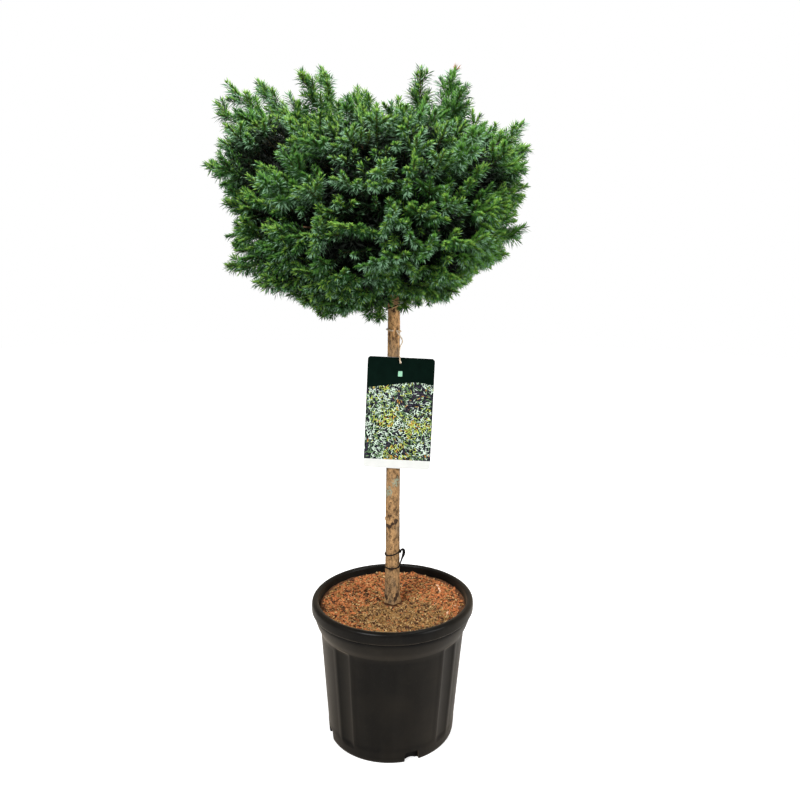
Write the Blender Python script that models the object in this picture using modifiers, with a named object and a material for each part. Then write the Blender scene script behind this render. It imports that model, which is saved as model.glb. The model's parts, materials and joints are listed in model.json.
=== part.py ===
"""Potted dwarf spruce, grafted as a round head on a clear stem.

Metres, +Z up. The origin is the middle of the pot's flat underside, and the front faces -Y.
Directions in the head are an azimuth (0 = front, 90 = right, 180 = back, -90 = left) and an
elevation in degrees, seen from the heart of the head on the trunk's line.
"""

import math
import random

import bmesh
import bpy
from mathutils import Matrix, Quaternion, Vector

SEED = 7
GAP = 0.0003                      # air between neighbours that touch in the real plant

# Pot
POT_HEIGHT = 0.257
POT_FOOT_RADIUS = 0.1185
POT_NECK_HEIGHT = 0.198           # the straight wall ends here and flares to the lip
POT_NECK_RADIUS = 0.137
LIP_RADIUS = 0.1538
RIM_RADIUS = 0.1505
MOUTH_RADIUS = 0.1410
WALL = 0.0055
FLOOR = 0.004
PAD_RADIUS = 0.055                # the middle of the underside, which stands on the ground
CHANNEL_HEIGHT = 0.019            # the raised ring of the underside, which drains
CHANNEL_RAMP = 0.016
POT_SIDES = 40

FLUTE_COUNT = 4
FLUTE_AZIMUTH = 53.0
FLUTE_RADIUS = 0.022
FLUTE_DEPTH = 0.0030
FLUTE_LOW, FLUTE_HIGH = 0.018, 0.203
NOTCH_AZIMUTH = 22.0
NOTCH_WIDTH = 0.027
NOTCH_HEIGHT = 0.018
NOTCH_DEPTH = 0.022

# Bark mulch
SOIL_HEIGHT = 0.2442
SOIL_RISE = 0.0018                # the mulch stands a little higher at the wall

# Trunk
TRUNK_FOOT = SOIL_HEIGHT + GAP
TRUNK_TOP = 0.975
GRAFT_HEIGHT = 0.800
TRUNK_RADIUS_FOOT = 0.0146
TRUNK_RADIUS_GRAFT = 0.0110
TRUNK_RADIUS_TOP = 0.0060
FLARE = 0.0008
FLARE_HEIGHT = 0.020
TRUNK_X = -0.0014
TRUNK_LEAN = -0.0087              # sideways for each metre of height, up to the graft
TRUNK_STEPS = 16

# Head: the heart lies on the trunk's line
HEART = Vector((-0.0065, 0.0, 0.930))
BLEND = 22.0                      # how sharply one mass's reach gives way to the next
HOLLOWS = ((0, -90, 0.140), (8, -52, 0.130), (-70, 73, 0.225))   # under, by the stem, on top
SKIRT = 0.50                      # how fast the reach shrinks under the head

# name, azimuth, elevation, reach from the heart
MASSES = (
    ("low_left", -95, -30, 0.230),
    ("low_front_left", -38, -32, 0.210),
    ("low_front_right", 25, -32, 0.196),
    ("low_right", 85, -30, 0.158),
    ("low_back_right", 145, -32, 0.190),
    ("low_back_left", -152, -32, 0.212),
    ("side_left", -90, 2, 0.302),
    ("side_front_left", -36, 4, 0.285),
    ("side_front_right", 24, 4, 0.255),
    ("side_right", 88, 4, 0.227),
    ("side_back_right", 148, 4, 0.250),
    ("side_back_left", -148, 4, 0.285),
    ("shoulder_left", -92, 34, 0.385),
    ("shoulder_front", -14, 40, 0.295),
    ("shoulder_right", 88, 38, 0.298),
    ("shoulder_back", 170, 40, 0.300),
    ("top_left", -92, 61, 0.298),
    ("top_middle", -60, 86, 0.226),
    ("top_right", 84, 70, 0.284),
)

TRUNK_MASS = "top_middle"         # this one grows on the trunk's tip and has no bough

# single long shoots: azimuth, elevation, reach from the heart
LEADERS = (
    (-81, 42, 0.409), (-100, 36, 0.441), (-76, 28, 0.356), (-98, 21, 0.399), (-77, 12, 0.312),
    (-99, -9, 0.339), (-79, -18, 0.270), (-105, 47, 0.417), (-72, 52, 0.322), (-70, 59, 0.344),
    (-110, 64, 0.365), (-127, 71, 0.312), (40, 77, 0.314), (122, 69, 0.363), (61, 62, 0.310),
    (106, 62, 0.305), (77, 42, 0.319), (103, 36, 0.320), (70, 29, 0.284), (102, 21, 0.262),
    (81, 7, 0.248), (150, 46, 0.345), (-150, 38, 0.375), (-24, 52, 0.290), (36, 34, 0.305),
    (-40, 16, 0.318), (-160, 8, 0.312), (-32, -62, 0.164), (25, -68, 0.138), (-20, -66, 0.158),
    (-64, 77, 0.276),
)

# Boughs, stems and sprays
ATTACH_RISE = 0.048               # the steeper a bough, the higher it leaves the trunk
ATTACH_STAGGER = 0.0065
BOUGH_COLLAR = 0.010              # a bough leaves the trunk level for this far
BOUGH_BEND = (0.85, 0.15)         # where it bends: towards its mass, and level
BOUGH_BEND_SHARE = 0.30           # share of the reach where it bends
BOUGH_END = 0.38                  # share of the reach where a bough ends
BOUGH_RADIUS_FOOT = 0.0052
BOUGH_RADIUS_TIP = 0.0034
BOUGH_STEPS = 6
STEM_END = 0.66
STEM_RADIUS_TIP = 0.0020
CORE_START = 0.43                 # shares of the reach
CORE_MIDDLE = 0.60
CORE_END = 0.80
CORE_STEP = 0.005                 # how finely the core feels for the edge of its space
CORE_STEPS = 40
CELL_MARGIN = 0.0030              # from a mass to the faces of its own space
TRUNK_CLEAR = 0.0170
SPRAY_COUNT = 400
SPRAY_LOWEST = -72.0
SPRAY_ROOT = 0.60
SPRAY_WIDTH = 0.0190
TIP_SPACING = 0.054
SPRAY_RINGS = 5
SPRAY_INNER = 0.34
SPRAY_LEAN = 0.60                 # how far a tooth leans forward, in ring spacings
SPRAY_TWIST = 0.18                # each ring is turned a little from the last
SPRAY_PULLS = (0.0, 0.1, 0.2, 0.3, 0.4)
ROOT_PULL = 0.28                  # a spray's root lies nearer its mass's middle than its tip

# Label, its string, and the two plant ties
LABEL_SIZE = (0.1245, 0.2092)
LABEL_CENTRE = (0.0070, 0.6126)
LABEL_TURN = 1.7
LABEL_THICKNESS = 0.0012
LABEL_CORNER = 0.006
LABEL_BACK = -0.0136
LABEL_HOLE = (0.0083, 0.7077)
LABEL_HOLE_RADIUS = 0.0028
STRING_RADIUS = 0.0012
STRING_HEIGHT = 0.7660
STRING_DIP = 0.13                 # the loop's fall per metre across the trunk
STRING_START = -62.0              # degrees round the trunk, and how far the loop goes
STRING_SWEEP = 330.0
TIE_RADIUS = 0.0013
TIE_HEIGHTS = (0.3145, 0.3410, 0.8110)
TIE_TILTS = (0.08, 0.22, 0.33)     # rise per metre across the trunk


# ---------------------------------------------------------------- helpers

def clear_scene():
    for obj in list(bpy.data.objects):
        bpy.data.objects.remove(obj, do_unlink=True)


def collection(name):
    coll = bpy.data.collections.new(name)
    bpy.context.scene.collection.children.link(coll)
    return coll


def material(name, colour, roughness, metallic=0.0):
    mat = bpy.data.materials.new(name)
    mat.use_nodes = True
    shader = mat.node_tree.nodes["Principled BSDF"]
    shader.inputs["Base Color"].default_value = (*colour, 1.0)
    shader.inputs["Roughness"].default_value = roughness
    shader.inputs["Metallic"].default_value = metallic
    return mat


def direction(azimuth, elevation):
    a, e = math.radians(azimuth), math.radians(elevation)
    return Vector((math.sin(a) * math.cos(e), -math.cos(a) * math.cos(e), math.sin(e)))


def mesh_object(name, bm, coll, mat=None):
    mesh = bpy.data.meshes.new(name)
    bm.normal_update()
    bm.to_mesh(mesh)
    bm.free()
    obj = bpy.data.objects.new(name, mesh)
    coll.objects.link(obj)
    if mat:
        mesh.materials.append(mat)
    return obj


def evaluated_mesh(obj):
    graph = bpy.context.evaluated_depsgraph_get()
    return bpy.data.meshes.new_from_object(obj.evaluated_get(graph), depsgraph=graph)


def turned(name, profile, sides, coll, mat):
    """A profile of (radius, height) turned round Z."""
    bm = bmesh.new()
    verts = [bm.verts.new((r, 0.0, z)) for r, z in profile]
    for a, b in zip(verts, verts[1:]):
        bm.edges.new((a, b))
    obj = mesh_object(name, bm, coll, mat)
    screw = obj.modifiers.new("turn", "SCREW")
    screw.steps = screw.render_steps = sides
    screw.use_merge_vertices = True
    screw.merge_threshold = 0.00005
    screw.use_smooth_shade = True
    return obj


def tube(name, points, radii, coll, mat=None, bevel_resolution=1, cyclic=False):
    """A round tapering curve through the points."""
    curve = bpy.data.curves.new(name, "CURVE")
    curve.dimensions = "3D"
    curve.twist_mode = "Z_UP" if cyclic else "MINIMUM"
    curve.bevel_depth = 1.0
    curve.bevel_resolution = bevel_resolution
    curve.use_fill_caps = not cyclic
    spline = curve.splines.new("POLY")
    spline.points.add(len(points) - 1)
    for point, co, radius in zip(spline.points, points, radii):
        point.co = (*co, 1.0)
        point.radius = radius
    spline.use_cyclic_u = cyclic
    obj = bpy.data.objects.new(name, curve)
    coll.objects.link(obj)
    if mat:
        curve.materials.append(mat)
    return obj


def tube_mesh(name, points, radii, coll, bevel_resolution=1):
    """The same tube as a closed mesh, for joining."""
    curve = tube(name, points, radii, coll, bevel_resolution=bevel_resolution)
    mesh = evaluated_mesh(curve)
    bpy.data.objects.remove(curve, do_unlink=True)
    bm = bmesh.new()
    bm.from_mesh(mesh)
    bpy.data.meshes.remove(mesh)
    bmesh.ops.remove_doubles(bm, verts=bm.verts, dist=0.00001)
    return mesh_object(name, bm, coll)


def boolean(obj, cutters, operation, solver="EXACT"):
    mod = obj.modifiers.new(operation.lower(), "BOOLEAN")
    mod.operation = operation
    mod.solver = solver
    mod.operand_type = "COLLECTION"
    mod.collection = cutters
    return mod


def remove_collection(coll):
    for obj in list(coll.objects):
        bpy.data.objects.remove(obj, do_unlink=True)
    bpy.data.collections.remove(coll)


# ---------------------------------------------------------------- pot and mulch

def wall_radius(height):
    """Outer radius of the pot's straight wall."""
    slope = (POT_NECK_RADIUS - POT_FOOT_RADIUS) / POT_NECK_HEIGHT
    return POT_FOOT_RADIUS + slope * height


def pot_profile():
    """From the inner floor's middle, up the inside, over the lip, down and under."""
    foot_inner = POT_FOOT_RADIUS - 0.009
    floor_high = CHANNEL_HEIGHT + FLOOR
    inside = [
        (0.0, FLOOR),
        (PAD_RADIUS - 0.002, FLOOR),
        (PAD_RADIUS + CHANNEL_RAMP - 0.002, floor_high),
        (wall_radius(floor_high) - WALL, floor_high),
        (POT_NECK_RADIUS - WALL, POT_NECK_HEIGHT),
        (MOUTH_RADIUS - 0.0012, SOIL_HEIGHT - 0.004),
        (MOUTH_RADIUS, POT_HEIGHT - 0.0028),
        (MOUTH_RADIUS + 0.0020, POT_HEIGHT - 0.0006),
    ]
    lip = [
        (MOUTH_RADIUS + 0.0050, POT_HEIGHT),
        (RIM_RADIUS, POT_HEIGHT - 0.0008),
        (LIP_RADIUS - 0.0008, POT_HEIGHT - 0.0040),
        (LIP_RADIUS, POT_HEIGHT - 0.0100),
        (LIP_RADIUS - 0.0008, POT_HEIGHT - 0.0165),
        (LIP_RADIUS - 0.0036, POT_HEIGHT - 0.0185),
    ]
    neck = [
        (0.1486, POT_HEIGHT - 0.0265),
        (0.1432, POT_HEIGHT - 0.0430),
        (0.1388, POT_HEIGHT - 0.0530),
        (POT_NECK_RADIUS, POT_NECK_HEIGHT),
    ]
    under = [
        (wall_radius(0.003), 0.003),
        (POT_FOOT_RADIUS - 0.0015, 0.0),
        (foot_inner, 0.0),
        (foot_inner - 0.003, CHANNEL_HEIGHT),
        (PAD_RADIUS + CHANNEL_RAMP, CHANNEL_HEIGHT),
        (PAD_RADIUS, 0.0),
        (0.0, 0.0),
    ]
    return inside + lip + neck + under


def flute_cutter(index, coll):
    """A round bar sunk in the wall along its slope."""
    azimuth = FLUTE_AZIMUTH + index * 360.0 / FLUTE_COUNT
    middle = 0.5 * (FLUTE_LOW + FLUTE_HIGH)
    length = FLUTE_HIGH - FLUTE_LOW
    slope = math.atan2(wall_radius(FLUTE_HIGH) - wall_radius(FLUTE_LOW), length)
    outward = direction(azimuth, 0.0)
    centre = outward * (wall_radius(middle) + FLUTE_RADIUS - FLUTE_DEPTH)
    centre.z = middle
    bm = bmesh.new()
    bmesh.ops.create_cone(bm, cap_ends=True, segments=24, depth=length,
                          radius1=FLUTE_RADIUS, radius2=FLUTE_RADIUS)
    obj = mesh_object("flute_cutter_%d" % index, bm, coll)
    tilt = Matrix.Rotation(slope, 4, "X")
    turn = Matrix.Rotation(math.radians(azimuth), 4, "Z")
    obj.matrix_world = Matrix.Translation(centre) @ turn @ tilt
    return obj


def notch_cutter(index, coll):
    """A drain notch through the foot ring."""
    azimuth = NOTCH_AZIMUTH + index * 90.0
    bm = bmesh.new()
    bmesh.ops.create_cube(bm, size=1.0)
    for vert in bm.verts:
        widen = 1.10 if vert.co.z < 0 else 0.94
        vert.co = (vert.co.x * NOTCH_WIDTH * widen, vert.co.y * NOTCH_DEPTH, vert.co.z * 2 * NOTCH_HEIGHT)
    obj = mesh_object("notch_cutter_%d" % index, bm, coll)
    turn = Matrix.Rotation(math.radians(azimuth), 4, "Z")
    place = Matrix.Translation(direction(azimuth, 0.0) * (POT_FOOT_RADIUS + 0.002))
    obj.matrix_world = place @ turn
    return obj


def hide(coll):
    for obj in coll.objects:
        obj.hide_render = True
        obj.display_type = "WIRE"


def build_pot(parts, mats):
    cutters = collection("pot_cutters")
    for index in range(FLUTE_COUNT):
        flute_cutter(index, cutters)
        notch_cutter(index, cutters)
    hide(cutters)
    pot = turned("pot", pot_profile(), POT_SIDES, parts, mats["pot"])
    boolean(pot, cutters, "DIFFERENCE")
    return pot


def build_soil(parts, mats):
    floor_high = CHANNEL_HEIGHT + FLOOR + GAP
    side = WALL + GAP * 2
    mouth = MOUTH_RADIUS - 0.0012 - GAP * 2
    profile = [
        (0.0, SOIL_HEIGHT),
        (0.040, SOIL_HEIGHT),
        (mouth, SOIL_HEIGHT + SOIL_RISE),
        (POT_NECK_RADIUS - side, POT_NECK_HEIGHT),
        (wall_radius(floor_high) - side, floor_high),
        (PAD_RADIUS + CHANNEL_RAMP - 0.002 - GAP, floor_high),
        (PAD_RADIUS - 0.003, FLOOR + GAP),
        (0.0, FLOOR + GAP),
    ]
    return turned("soil", profile, POT_SIDES, parts, mats["mulch"])


# ---------------------------------------------------------------- trunk

def trunk_axis(height):
    leaning = min(height, GRAFT_HEIGHT) - TRUNK_FOOT
    return Vector((TRUNK_X + TRUNK_LEAN * leaning, 0.0, height))


def trunk_radius(height):
    if height > GRAFT_HEIGHT:
        share = (height - GRAFT_HEIGHT) / (TRUNK_TOP - GRAFT_HEIGHT)
        return TRUNK_RADIUS_GRAFT + (TRUNK_RADIUS_TOP - TRUNK_RADIUS_GRAFT) * share
    share = (height - TRUNK_FOOT) / (GRAFT_HEIGHT - TRUNK_FOOT)
    flare = FLARE * math.exp(-(height - TRUNK_FOOT) / FLARE_HEIGHT)
    return TRUNK_RADIUS_FOOT + (TRUNK_RADIUS_GRAFT - TRUNK_RADIUS_FOOT) * share + flare


def build_trunk(parts, mats):
    shares = [0.0, 0.012, 0.03, 0.06] + [i / TRUNK_STEPS for i in range(2, TRUNK_STEPS + 1)]
    heights = [TRUNK_FOOT + s * (TRUNK_TOP - TRUNK_FOOT) for s in shares]
    points = [trunk_axis(h) for h in heights]
    points[1].x = points[0].x
    radii = [trunk_radius(h) for h in heights]
    return tube("trunk", points, radii, parts, mats["bark"], bevel_resolution=4)


# ---------------------------------------------------------------- the head's outline and spaces

MASS_DIRECTIONS = [direction(az, el) for _, az, el, _ in MASSES]
ANCHORS = [(d, row[3]) for d, row in zip(MASS_DIRECTIONS, MASSES)]
ANCHORS += [(direction(az, el), reach) for az, el, reach in HOLLOWS]


def general_reach(unit):
    """The head's reach from its heart along a unit vector, blended from the masses."""
    weights = [(math.exp(BLEND * (unit.dot(d) - 1.0)), r) for d, r in ANCHORS]
    blend = sum(w * r for w, r in weights) / sum(w for w, _ in weights)
    return blend * (1.0 - SKIRT * max(0.0, -0.5 - unit.z))


def own_mass(unit):
    return max(range(len(MASSES)), key=lambda i: unit.dot(MASS_DIRECTIONS[i]))


def room(index, point):
    """How far a point lies inside the space of a mass; negative when it is outside."""
    own = MASS_DIRECTIONS[index]
    offset = point - HEART
    faces = [offset.dot(own - d) / (own - d).length
             for i, d in enumerate(MASS_DIRECTIONS) if i != index]
    least = min(faces) - CELL_MARGIN
    if own.z < 0.95:
        flat = Vector((own.x, own.y, 0.0)).normalized()
        least = min(least, (point - trunk_axis(point.z)).dot(flat) - TRUNK_CLEAR)
    return least


# ---------------------------------------------------------------- boughs

def bough_path(index, samples=24):
    """From the trunk's skin to the mass's tip: it leaves level, then turns to its mass."""
    _, azimuth, elevation, reach = MASSES[index]
    stagger = ATTACH_STAGGER * (1 if index % 2 else -1)
    height = HEART.z + ATTACH_RISE * math.sin(math.radians(elevation)) + stagger
    tip = HEART + MASS_DIRECTIONS[index] * reach
    start = trunk_axis(height)
    level = Vector((tip.x - start.x, tip.y - start.y, 0.0)).normalized()
    start = start + level * (trunk_radius(height) + GAP)
    collar = start + level * BOUGH_COLLAR
    bend_way = (MASS_DIRECTIONS[index] * BOUGH_BEND[0] + level * BOUGH_BEND[1]).normalized()
    bend = HEART + bend_way * reach * BOUGH_BEND_SHARE
    path = [start]
    for i in range(samples + 1):
        t = i / samples
        path.append(collar * (1 - t) ** 2 + bend * 2 * t * (1 - t) + tip * t * t)
    return path


def cut_path(path, low, high, steps):
    """Even points on the path between two distances from the heart."""
    inside = [p for p in path if low <= (p - HEART).length <= high]
    last = len(inside) - 1
    return [inside[round(i * last / (steps - 1))] for i in range(steps)]


def bough_points(index):
    path = bough_path(index, samples=60)
    reach = MASSES[index][3]
    if MASSES[index][0] == TRUNK_MASS:
        return []
    points = [path[0]] + cut_path(path[1:], 0.0, BOUGH_END * reach, BOUGH_STEPS)
    return points


def stem_points(index):
    """The stem of a mass, from just clear of its bough's tip."""
    reach = MASSES[index][3]
    if MASSES[index][0] == TRUNK_MASS:
        foot = trunk_axis(TRUNK_TOP) + Vector((0.0, 0.0, GAP))
        tip = HEART + MASS_DIRECTIONS[index] * reach * STEM_END
        rise = foot + Vector((0.0, 0.0, 0.012))
        return [foot, rise, rise.lerp(tip, 0.5), tip]
    bough = bough_points(index)
    last = bough[-1]
    along = (bough[-1] - bough[-2]).normalized()
    foot = last + along * GAP
    rest = cut_path(bough_path(index, samples=60)[1:], BOUGH_END * reach + 0.008, STEM_END * reach, 3)
    return [foot, foot + along * 0.006] + rest


def build_bough(index, parts, mats):
    points = bough_points(index)
    last = len(points) - 1
    radii = [BOUGH_RADIUS_FOOT + (BOUGH_RADIUS_TIP - BOUGH_RADIUS_FOOT) * i / last
             for i in range(last + 1)]
    return tube("bough_" + MASSES[index][0], points, radii, parts, mats["bark"])


# ---------------------------------------------------------------- masses of foliage

def spray(name, root, tip, width, spin, coll):
    """A shoot full of needles: each ring's corners stand out and in by turns."""
    axis = tip - root
    length = axis.length
    axis.normalize()
    side = axis.orthogonal().normalized()
    side.rotate(Quaternion(axis, spin))
    other = axis.cross(side)
    bm = bmesh.new()
    rings = []
    for k in range(SPRAY_RINGS):
        share = k / SPRAY_RINGS
        swell = width * (0.72 + 0.28 * math.sin(math.pi * share)) * (1.0 - 0.62 * share ** 3)
        ring = []
        for j in range(4):
            out = (j + k) % 2 == 0
            radius = swell if out else width * SPRAY_INNER
            forward = length * share + (length / SPRAY_RINGS * SPRAY_LEAN if out else 0.0)
            angle = j * math.pi / 2 + k * SPRAY_TWIST
            ring.append(bm.verts.new(
                root + axis * forward
                + (side * math.cos(angle) + other * math.sin(angle)) * radius))
        rings.append(ring)
    for low, high in zip(rings, rings[1:]):
        for j in range(4):
            quad_split(bm, low, high, j)
    base = bm.verts.new(root - axis * 0.004)
    peak = bm.verts.new(tip)
    for j in range(4):
        k = (j + 1) % 4
        bm.faces.new((base, rings[0][k], rings[0][j]))
        bm.faces.new((peak, rings[-1][j], rings[-1][k]))
    bmesh.ops.recalc_face_normals(bm, faces=bm.faces)
    return mesh_object(name, bm, coll)


def quad_split(bm, low, high, j):
    """Two triangles between rings, folded along the line that joins the outer corners."""
    k = (j + 1) % 4
    bm.faces.new((low[j], low[k], high[k]))
    bm.faces.new((low[j], high[k], high[j]))


def core(index, coll):
    """The dense inner part of a mass, fitted into its own space."""
    reach = MASSES[index][3]
    middle = HEART + MASS_DIRECTIONS[index] * reach * CORE_MIDDLE
    bm = bmesh.new()
    bmesh.ops.create_icosphere(bm, subdivisions=2, radius=1.0)
    for vert in bm.verts:
        ray = vert.co.normalized()
        size = 0.0
        for step in range(1, CORE_STEPS + 1):
            point = middle + ray * (CORE_STEP * step)
            offset = point - HEART
            high = CORE_END * general_reach(offset.normalized())
            if room(index, point) < 0 or offset.length > high:
                break
            if offset.length < CORE_START * reach:
                break
            size = CORE_STEP * step
        vert.co = middle + ray * size
    bmesh.ops.dissolve_degenerate(bm, edges=bm.edges, dist=0.0005)
    return mesh_object("core_%d" % index, bm, coll)


def fits(index, obj):
    return all(room(index, vert.co) > 0.0 for vert in obj.data.vertices)


def spray_directions():
    """Directions spread evenly over the head."""
    golden = math.pi * (3.0 - math.sqrt(5.0))
    lowest = math.sin(math.radians(SPRAY_LOWEST))
    for i in range(SPRAY_COUNT):
        z = 1.0 - (i + 0.5) / SPRAY_COUNT * (1.0 - lowest)
        flat = math.sqrt(1.0 - z * z)
        yield Vector((math.cos(i * golden) * flat, math.sin(i * golden) * flat, z))


def add_spray(name, index, unit, reach, rng, coll):
    """Place a spray in its mass, leaning it towards the mass's middle until it fits."""
    own = MASS_DIRECTIONS[index]
    width = SPRAY_WIDTH * rng.uniform(0.88, 1.08)
    spin = rng.uniform(0.0, math.pi)
    for pull in SPRAY_PULLS:
        tip_way = unit.lerp(own, pull).normalized()
        root_way = unit.lerp(own, min(1.0, pull + ROOT_PULL)).normalized()
        root = HEART + root_way * reach * SPRAY_ROOT
        tip = HEART + tip_way * reach
        shoot = spray(name, root, tip, width, spin, coll)
        if fits(index, shoot):
            return shoot
        bpy.data.objects.remove(shoot, do_unlink=True)
    return None


def plan_sprays():
    """Every spray of the head as (mass, unit vector, reach)."""
    rng = random.Random(SEED)
    rows = []
    leaders = [(direction(az, el), reach) for az, el, reach in LEADERS]
    for unit, reach in leaders:
        rows.append((own_mass(unit), unit, reach))
    tips = [unit * reach for unit, reach in leaders]
    for unit in spray_directions():
        reach = general_reach(unit)
        if all((unit * reach - tip).length > TIP_SPACING for tip in tips):
            tips.append(unit * reach)
            rows.append((own_mass(unit), unit, reach * rng.uniform(0.95, 1.02)))
    return rows


def build_mass(index, rows, parts, mats):
    name = "mass_" + MASSES[index][0]
    rng = random.Random(SEED * 1000 + index)
    pieces = collection("pieces_" + name)
    points = stem_points(index)
    last = len(points) - 1
    radii = [BOUGH_RADIUS_TIP + (STEM_RADIUS_TIP - BOUGH_RADIUS_TIP) * i / last
             for i in range(last + 1)]
    stem = tube_mesh(name, points, radii, parts)
    core(index, pieces)
    for number, (_, unit, reach) in enumerate(rows):
        add_spray("spray_%d_%d" % (index, number), index, unit, reach, rng, pieces)
    joined = union(stem, pieces)
    joined.data.materials.append(mats["needles"])
    return joined


def union(base, pieces):
    """Join the base with every piece of a collection and drop the pieces."""
    for solver in ("EXACT", "MANIFOLD"):
        mod = boolean(base, pieces, "UNION", solver)
        mesh = evaluated_mesh(base)
        drop_loose(mesh)
        base.modifiers.remove(mod)
        if closed_body(mesh):
            break
    base.data = mesh
    remove_collection(pieces)
    return base


def bodies(bm):
    """The separate bodies of a mesh, each a set of corners, the largest first."""
    left = set(bm.verts)
    found = []
    while left:
        queue = [left.pop()]
        body = set(queue)
        while queue:
            for edge in queue.pop().link_edges:
                fresh = left.intersection(edge.verts)
                left -= fresh
                body |= fresh
                queue.extend(fresh)
        found.append(body)
    return sorted(found, key=len, reverse=True)


def drop_loose(mesh):
    """Keep the largest body only: a spray that misses the core is left out."""
    bm = bmesh.new()
    bm.from_mesh(mesh)
    loose = [vert for body in bodies(bm)[1:] for vert in body]
    bmesh.ops.delete(bm, geom=loose, context="VERTS")
    bm.to_mesh(mesh)
    bm.free()


def closed_body(mesh):
    """True when every edge has two faces and the mesh is one piece."""
    bm = bmesh.new()
    bm.from_mesh(mesh)
    ok = all(len(edge.link_faces) == 2 for edge in bm.edges) and len(bodies(bm)) == 1
    bm.free()
    return ok


# ---------------------------------------------------------------- label, string and ties

def label_frame():
    """The label's own plane: x to its right, y up, z out to the front."""
    turn = Matrix.Rotation(math.radians(90.0), 4, "X")
    lean = Matrix.Rotation(math.radians(LABEL_TURN), 4, "Y")
    place = Matrix.Translation((LABEL_CENTRE[0], LABEL_BACK - LABEL_THICKNESS / 2, LABEL_CENTRE[1]))
    return place @ lean @ turn


def rounded_outline(width, height, corner, steps=4):
    points = []
    for sx, sy, first in ((1, 1, 0), (-1, 1, 90), (-1, -1, 180), (1, -1, 270)):
        for i in range(steps + 1):
            a = math.radians(first + 90.0 * i / steps)
            points.append((sx * (width / 2 - corner) + corner * math.cos(a),
                           sy * (height / 2 - corner) + corner * math.sin(a)))
    return points


def build_label(parts, mats):
    frame = label_frame()
    hole_at = frame.inverted() @ Vector((LABEL_HOLE[0], LABEL_BACK, LABEL_HOLE[1]))
    curve = bpy.data.curves.new("label", "CURVE")
    curve.dimensions = "2D"
    curve.fill_mode = "BOTH"
    curve.extrude = LABEL_THICKNESS / 2
    hole = [(hole_at.x + LABEL_HOLE_RADIUS * math.cos(a), hole_at.y + LABEL_HOLE_RADIUS * math.sin(a))
            for a in (2 * math.pi * i / 10 for i in range(10))]
    for outline in (rounded_outline(*LABEL_SIZE, LABEL_CORNER), hole):
        spline = curve.splines.new("POLY")
        spline.points.add(len(outline) - 1)
        for point, (x, y) in zip(spline.points, outline):
            point.co = (x, y, 0.0, 1.0)
        spline.use_cyclic_u = True
    obj = bpy.data.objects.new("label", curve)
    parts.objects.link(obj)
    curve.materials.append(mats["label"])
    obj.matrix_world = frame
    return obj


def ring_round_trunk(height, tilt, radius, clearance, steps):
    """Points of a ring that lies on the trunk's skin, tilted about Y by a rise per metre."""
    points = []
    for i in range(steps):
        a = 2 * math.pi * i / steps
        reach = trunk_radius(height) + radius + clearance
        x, y = reach * math.cos(a), reach * math.sin(a)
        points.append(trunk_axis(height) + Vector((x, y, x * tilt)))
    return points


def build_string(parts, mats):
    """The loop round the trunk and the slack fall to the label's hole."""
    axis = trunk_axis(STRING_HEIGHT)
    reach = trunk_radius(STRING_HEIGHT) + STRING_RADIUS + GAP
    loop = []
    for i in range(15):
        a = math.radians(STRING_START + STRING_SWEEP * i / 14)
        x, y = reach * math.cos(a), reach * math.sin(a)
        loop.append(axis + Vector((x, y, -STRING_DIP * x)))
    front = LABEL_BACK - LABEL_THICKNESS
    fall = [Vector((0.0112, -0.0150, 0.7490)), Vector((0.0074, -0.0168, 0.7370)),
            Vector((0.0064, front - 0.0018, 0.7235)), Vector((LABEL_HOLE[0] - 0.001, front - 0.0018, 0.7120)),
            Vector((LABEL_HOLE[0], front - 0.0015, LABEL_HOLE[1]))]
    points = loop[::-1] + fall
    return tube("label_string", points, [STRING_RADIUS] * len(points), parts, mats["string"],
                bevel_resolution=0)


def build_tie(number, height, tilt, parts, mats):
    points = ring_round_trunk(height, tilt, TIE_RADIUS, GAP * 2, 16)
    return tube("tie_%d" % number, points, [TIE_RADIUS] * len(points), parts, mats["tie"],
                bevel_resolution=0, cyclic=True)


# ---------------------------------------------------------------- build

def main():
    clear_scene()
    parts = collection("potted_dwarf_spruce")
    mats = {
        "pot": material("pot", (0.020, 0.020, 0.021), 0.42),
        "mulch": material("mulch", (0.300, 0.125, 0.050), 0.95),
        "bark": material("bark", (0.330, 0.210, 0.105), 0.85),
        "needles": material("needles", (0.045, 0.150, 0.040), 0.60),
        "label": material("label", (0.020, 0.045, 0.035), 0.35),
        "string": material("string", (0.620, 0.480, 0.330), 0.90),
        "tie": material("tie", (0.012, 0.011, 0.010), 0.55),
    }
    build_pot(parts, mats)
    build_soil(parts, mats)
    build_trunk(parts, mats)
    rows = plan_sprays()
    for index, row in enumerate(MASSES):
        if row[0] != TRUNK_MASS:
            build_bough(index, parts, mats)
        build_mass(index, [r for r in rows if r[0] == index], parts, mats)
    build_label(parts, mats)
    build_string(parts, mats)
    for number, (height, tilt) in enumerate(zip(TIE_HEIGHTS, TIE_TILTS), 1):
        build_tie(number, height, tilt, parts, mats)


main()
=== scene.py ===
"""Looks of the potted dwarf spruce: needles, twigs, bark, mulch, pot, label, string and ties.

Metres, +Z up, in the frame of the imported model. The front faces -Y. Directions in the head are an
azimuth (0 = front, 90 = right, 180 = back, -90 = left) and an elevation, in degrees.
"""

import json
import math
import random

import bmesh
import bpy
import numpy as np
from mathutils import Matrix, Vector

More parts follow.
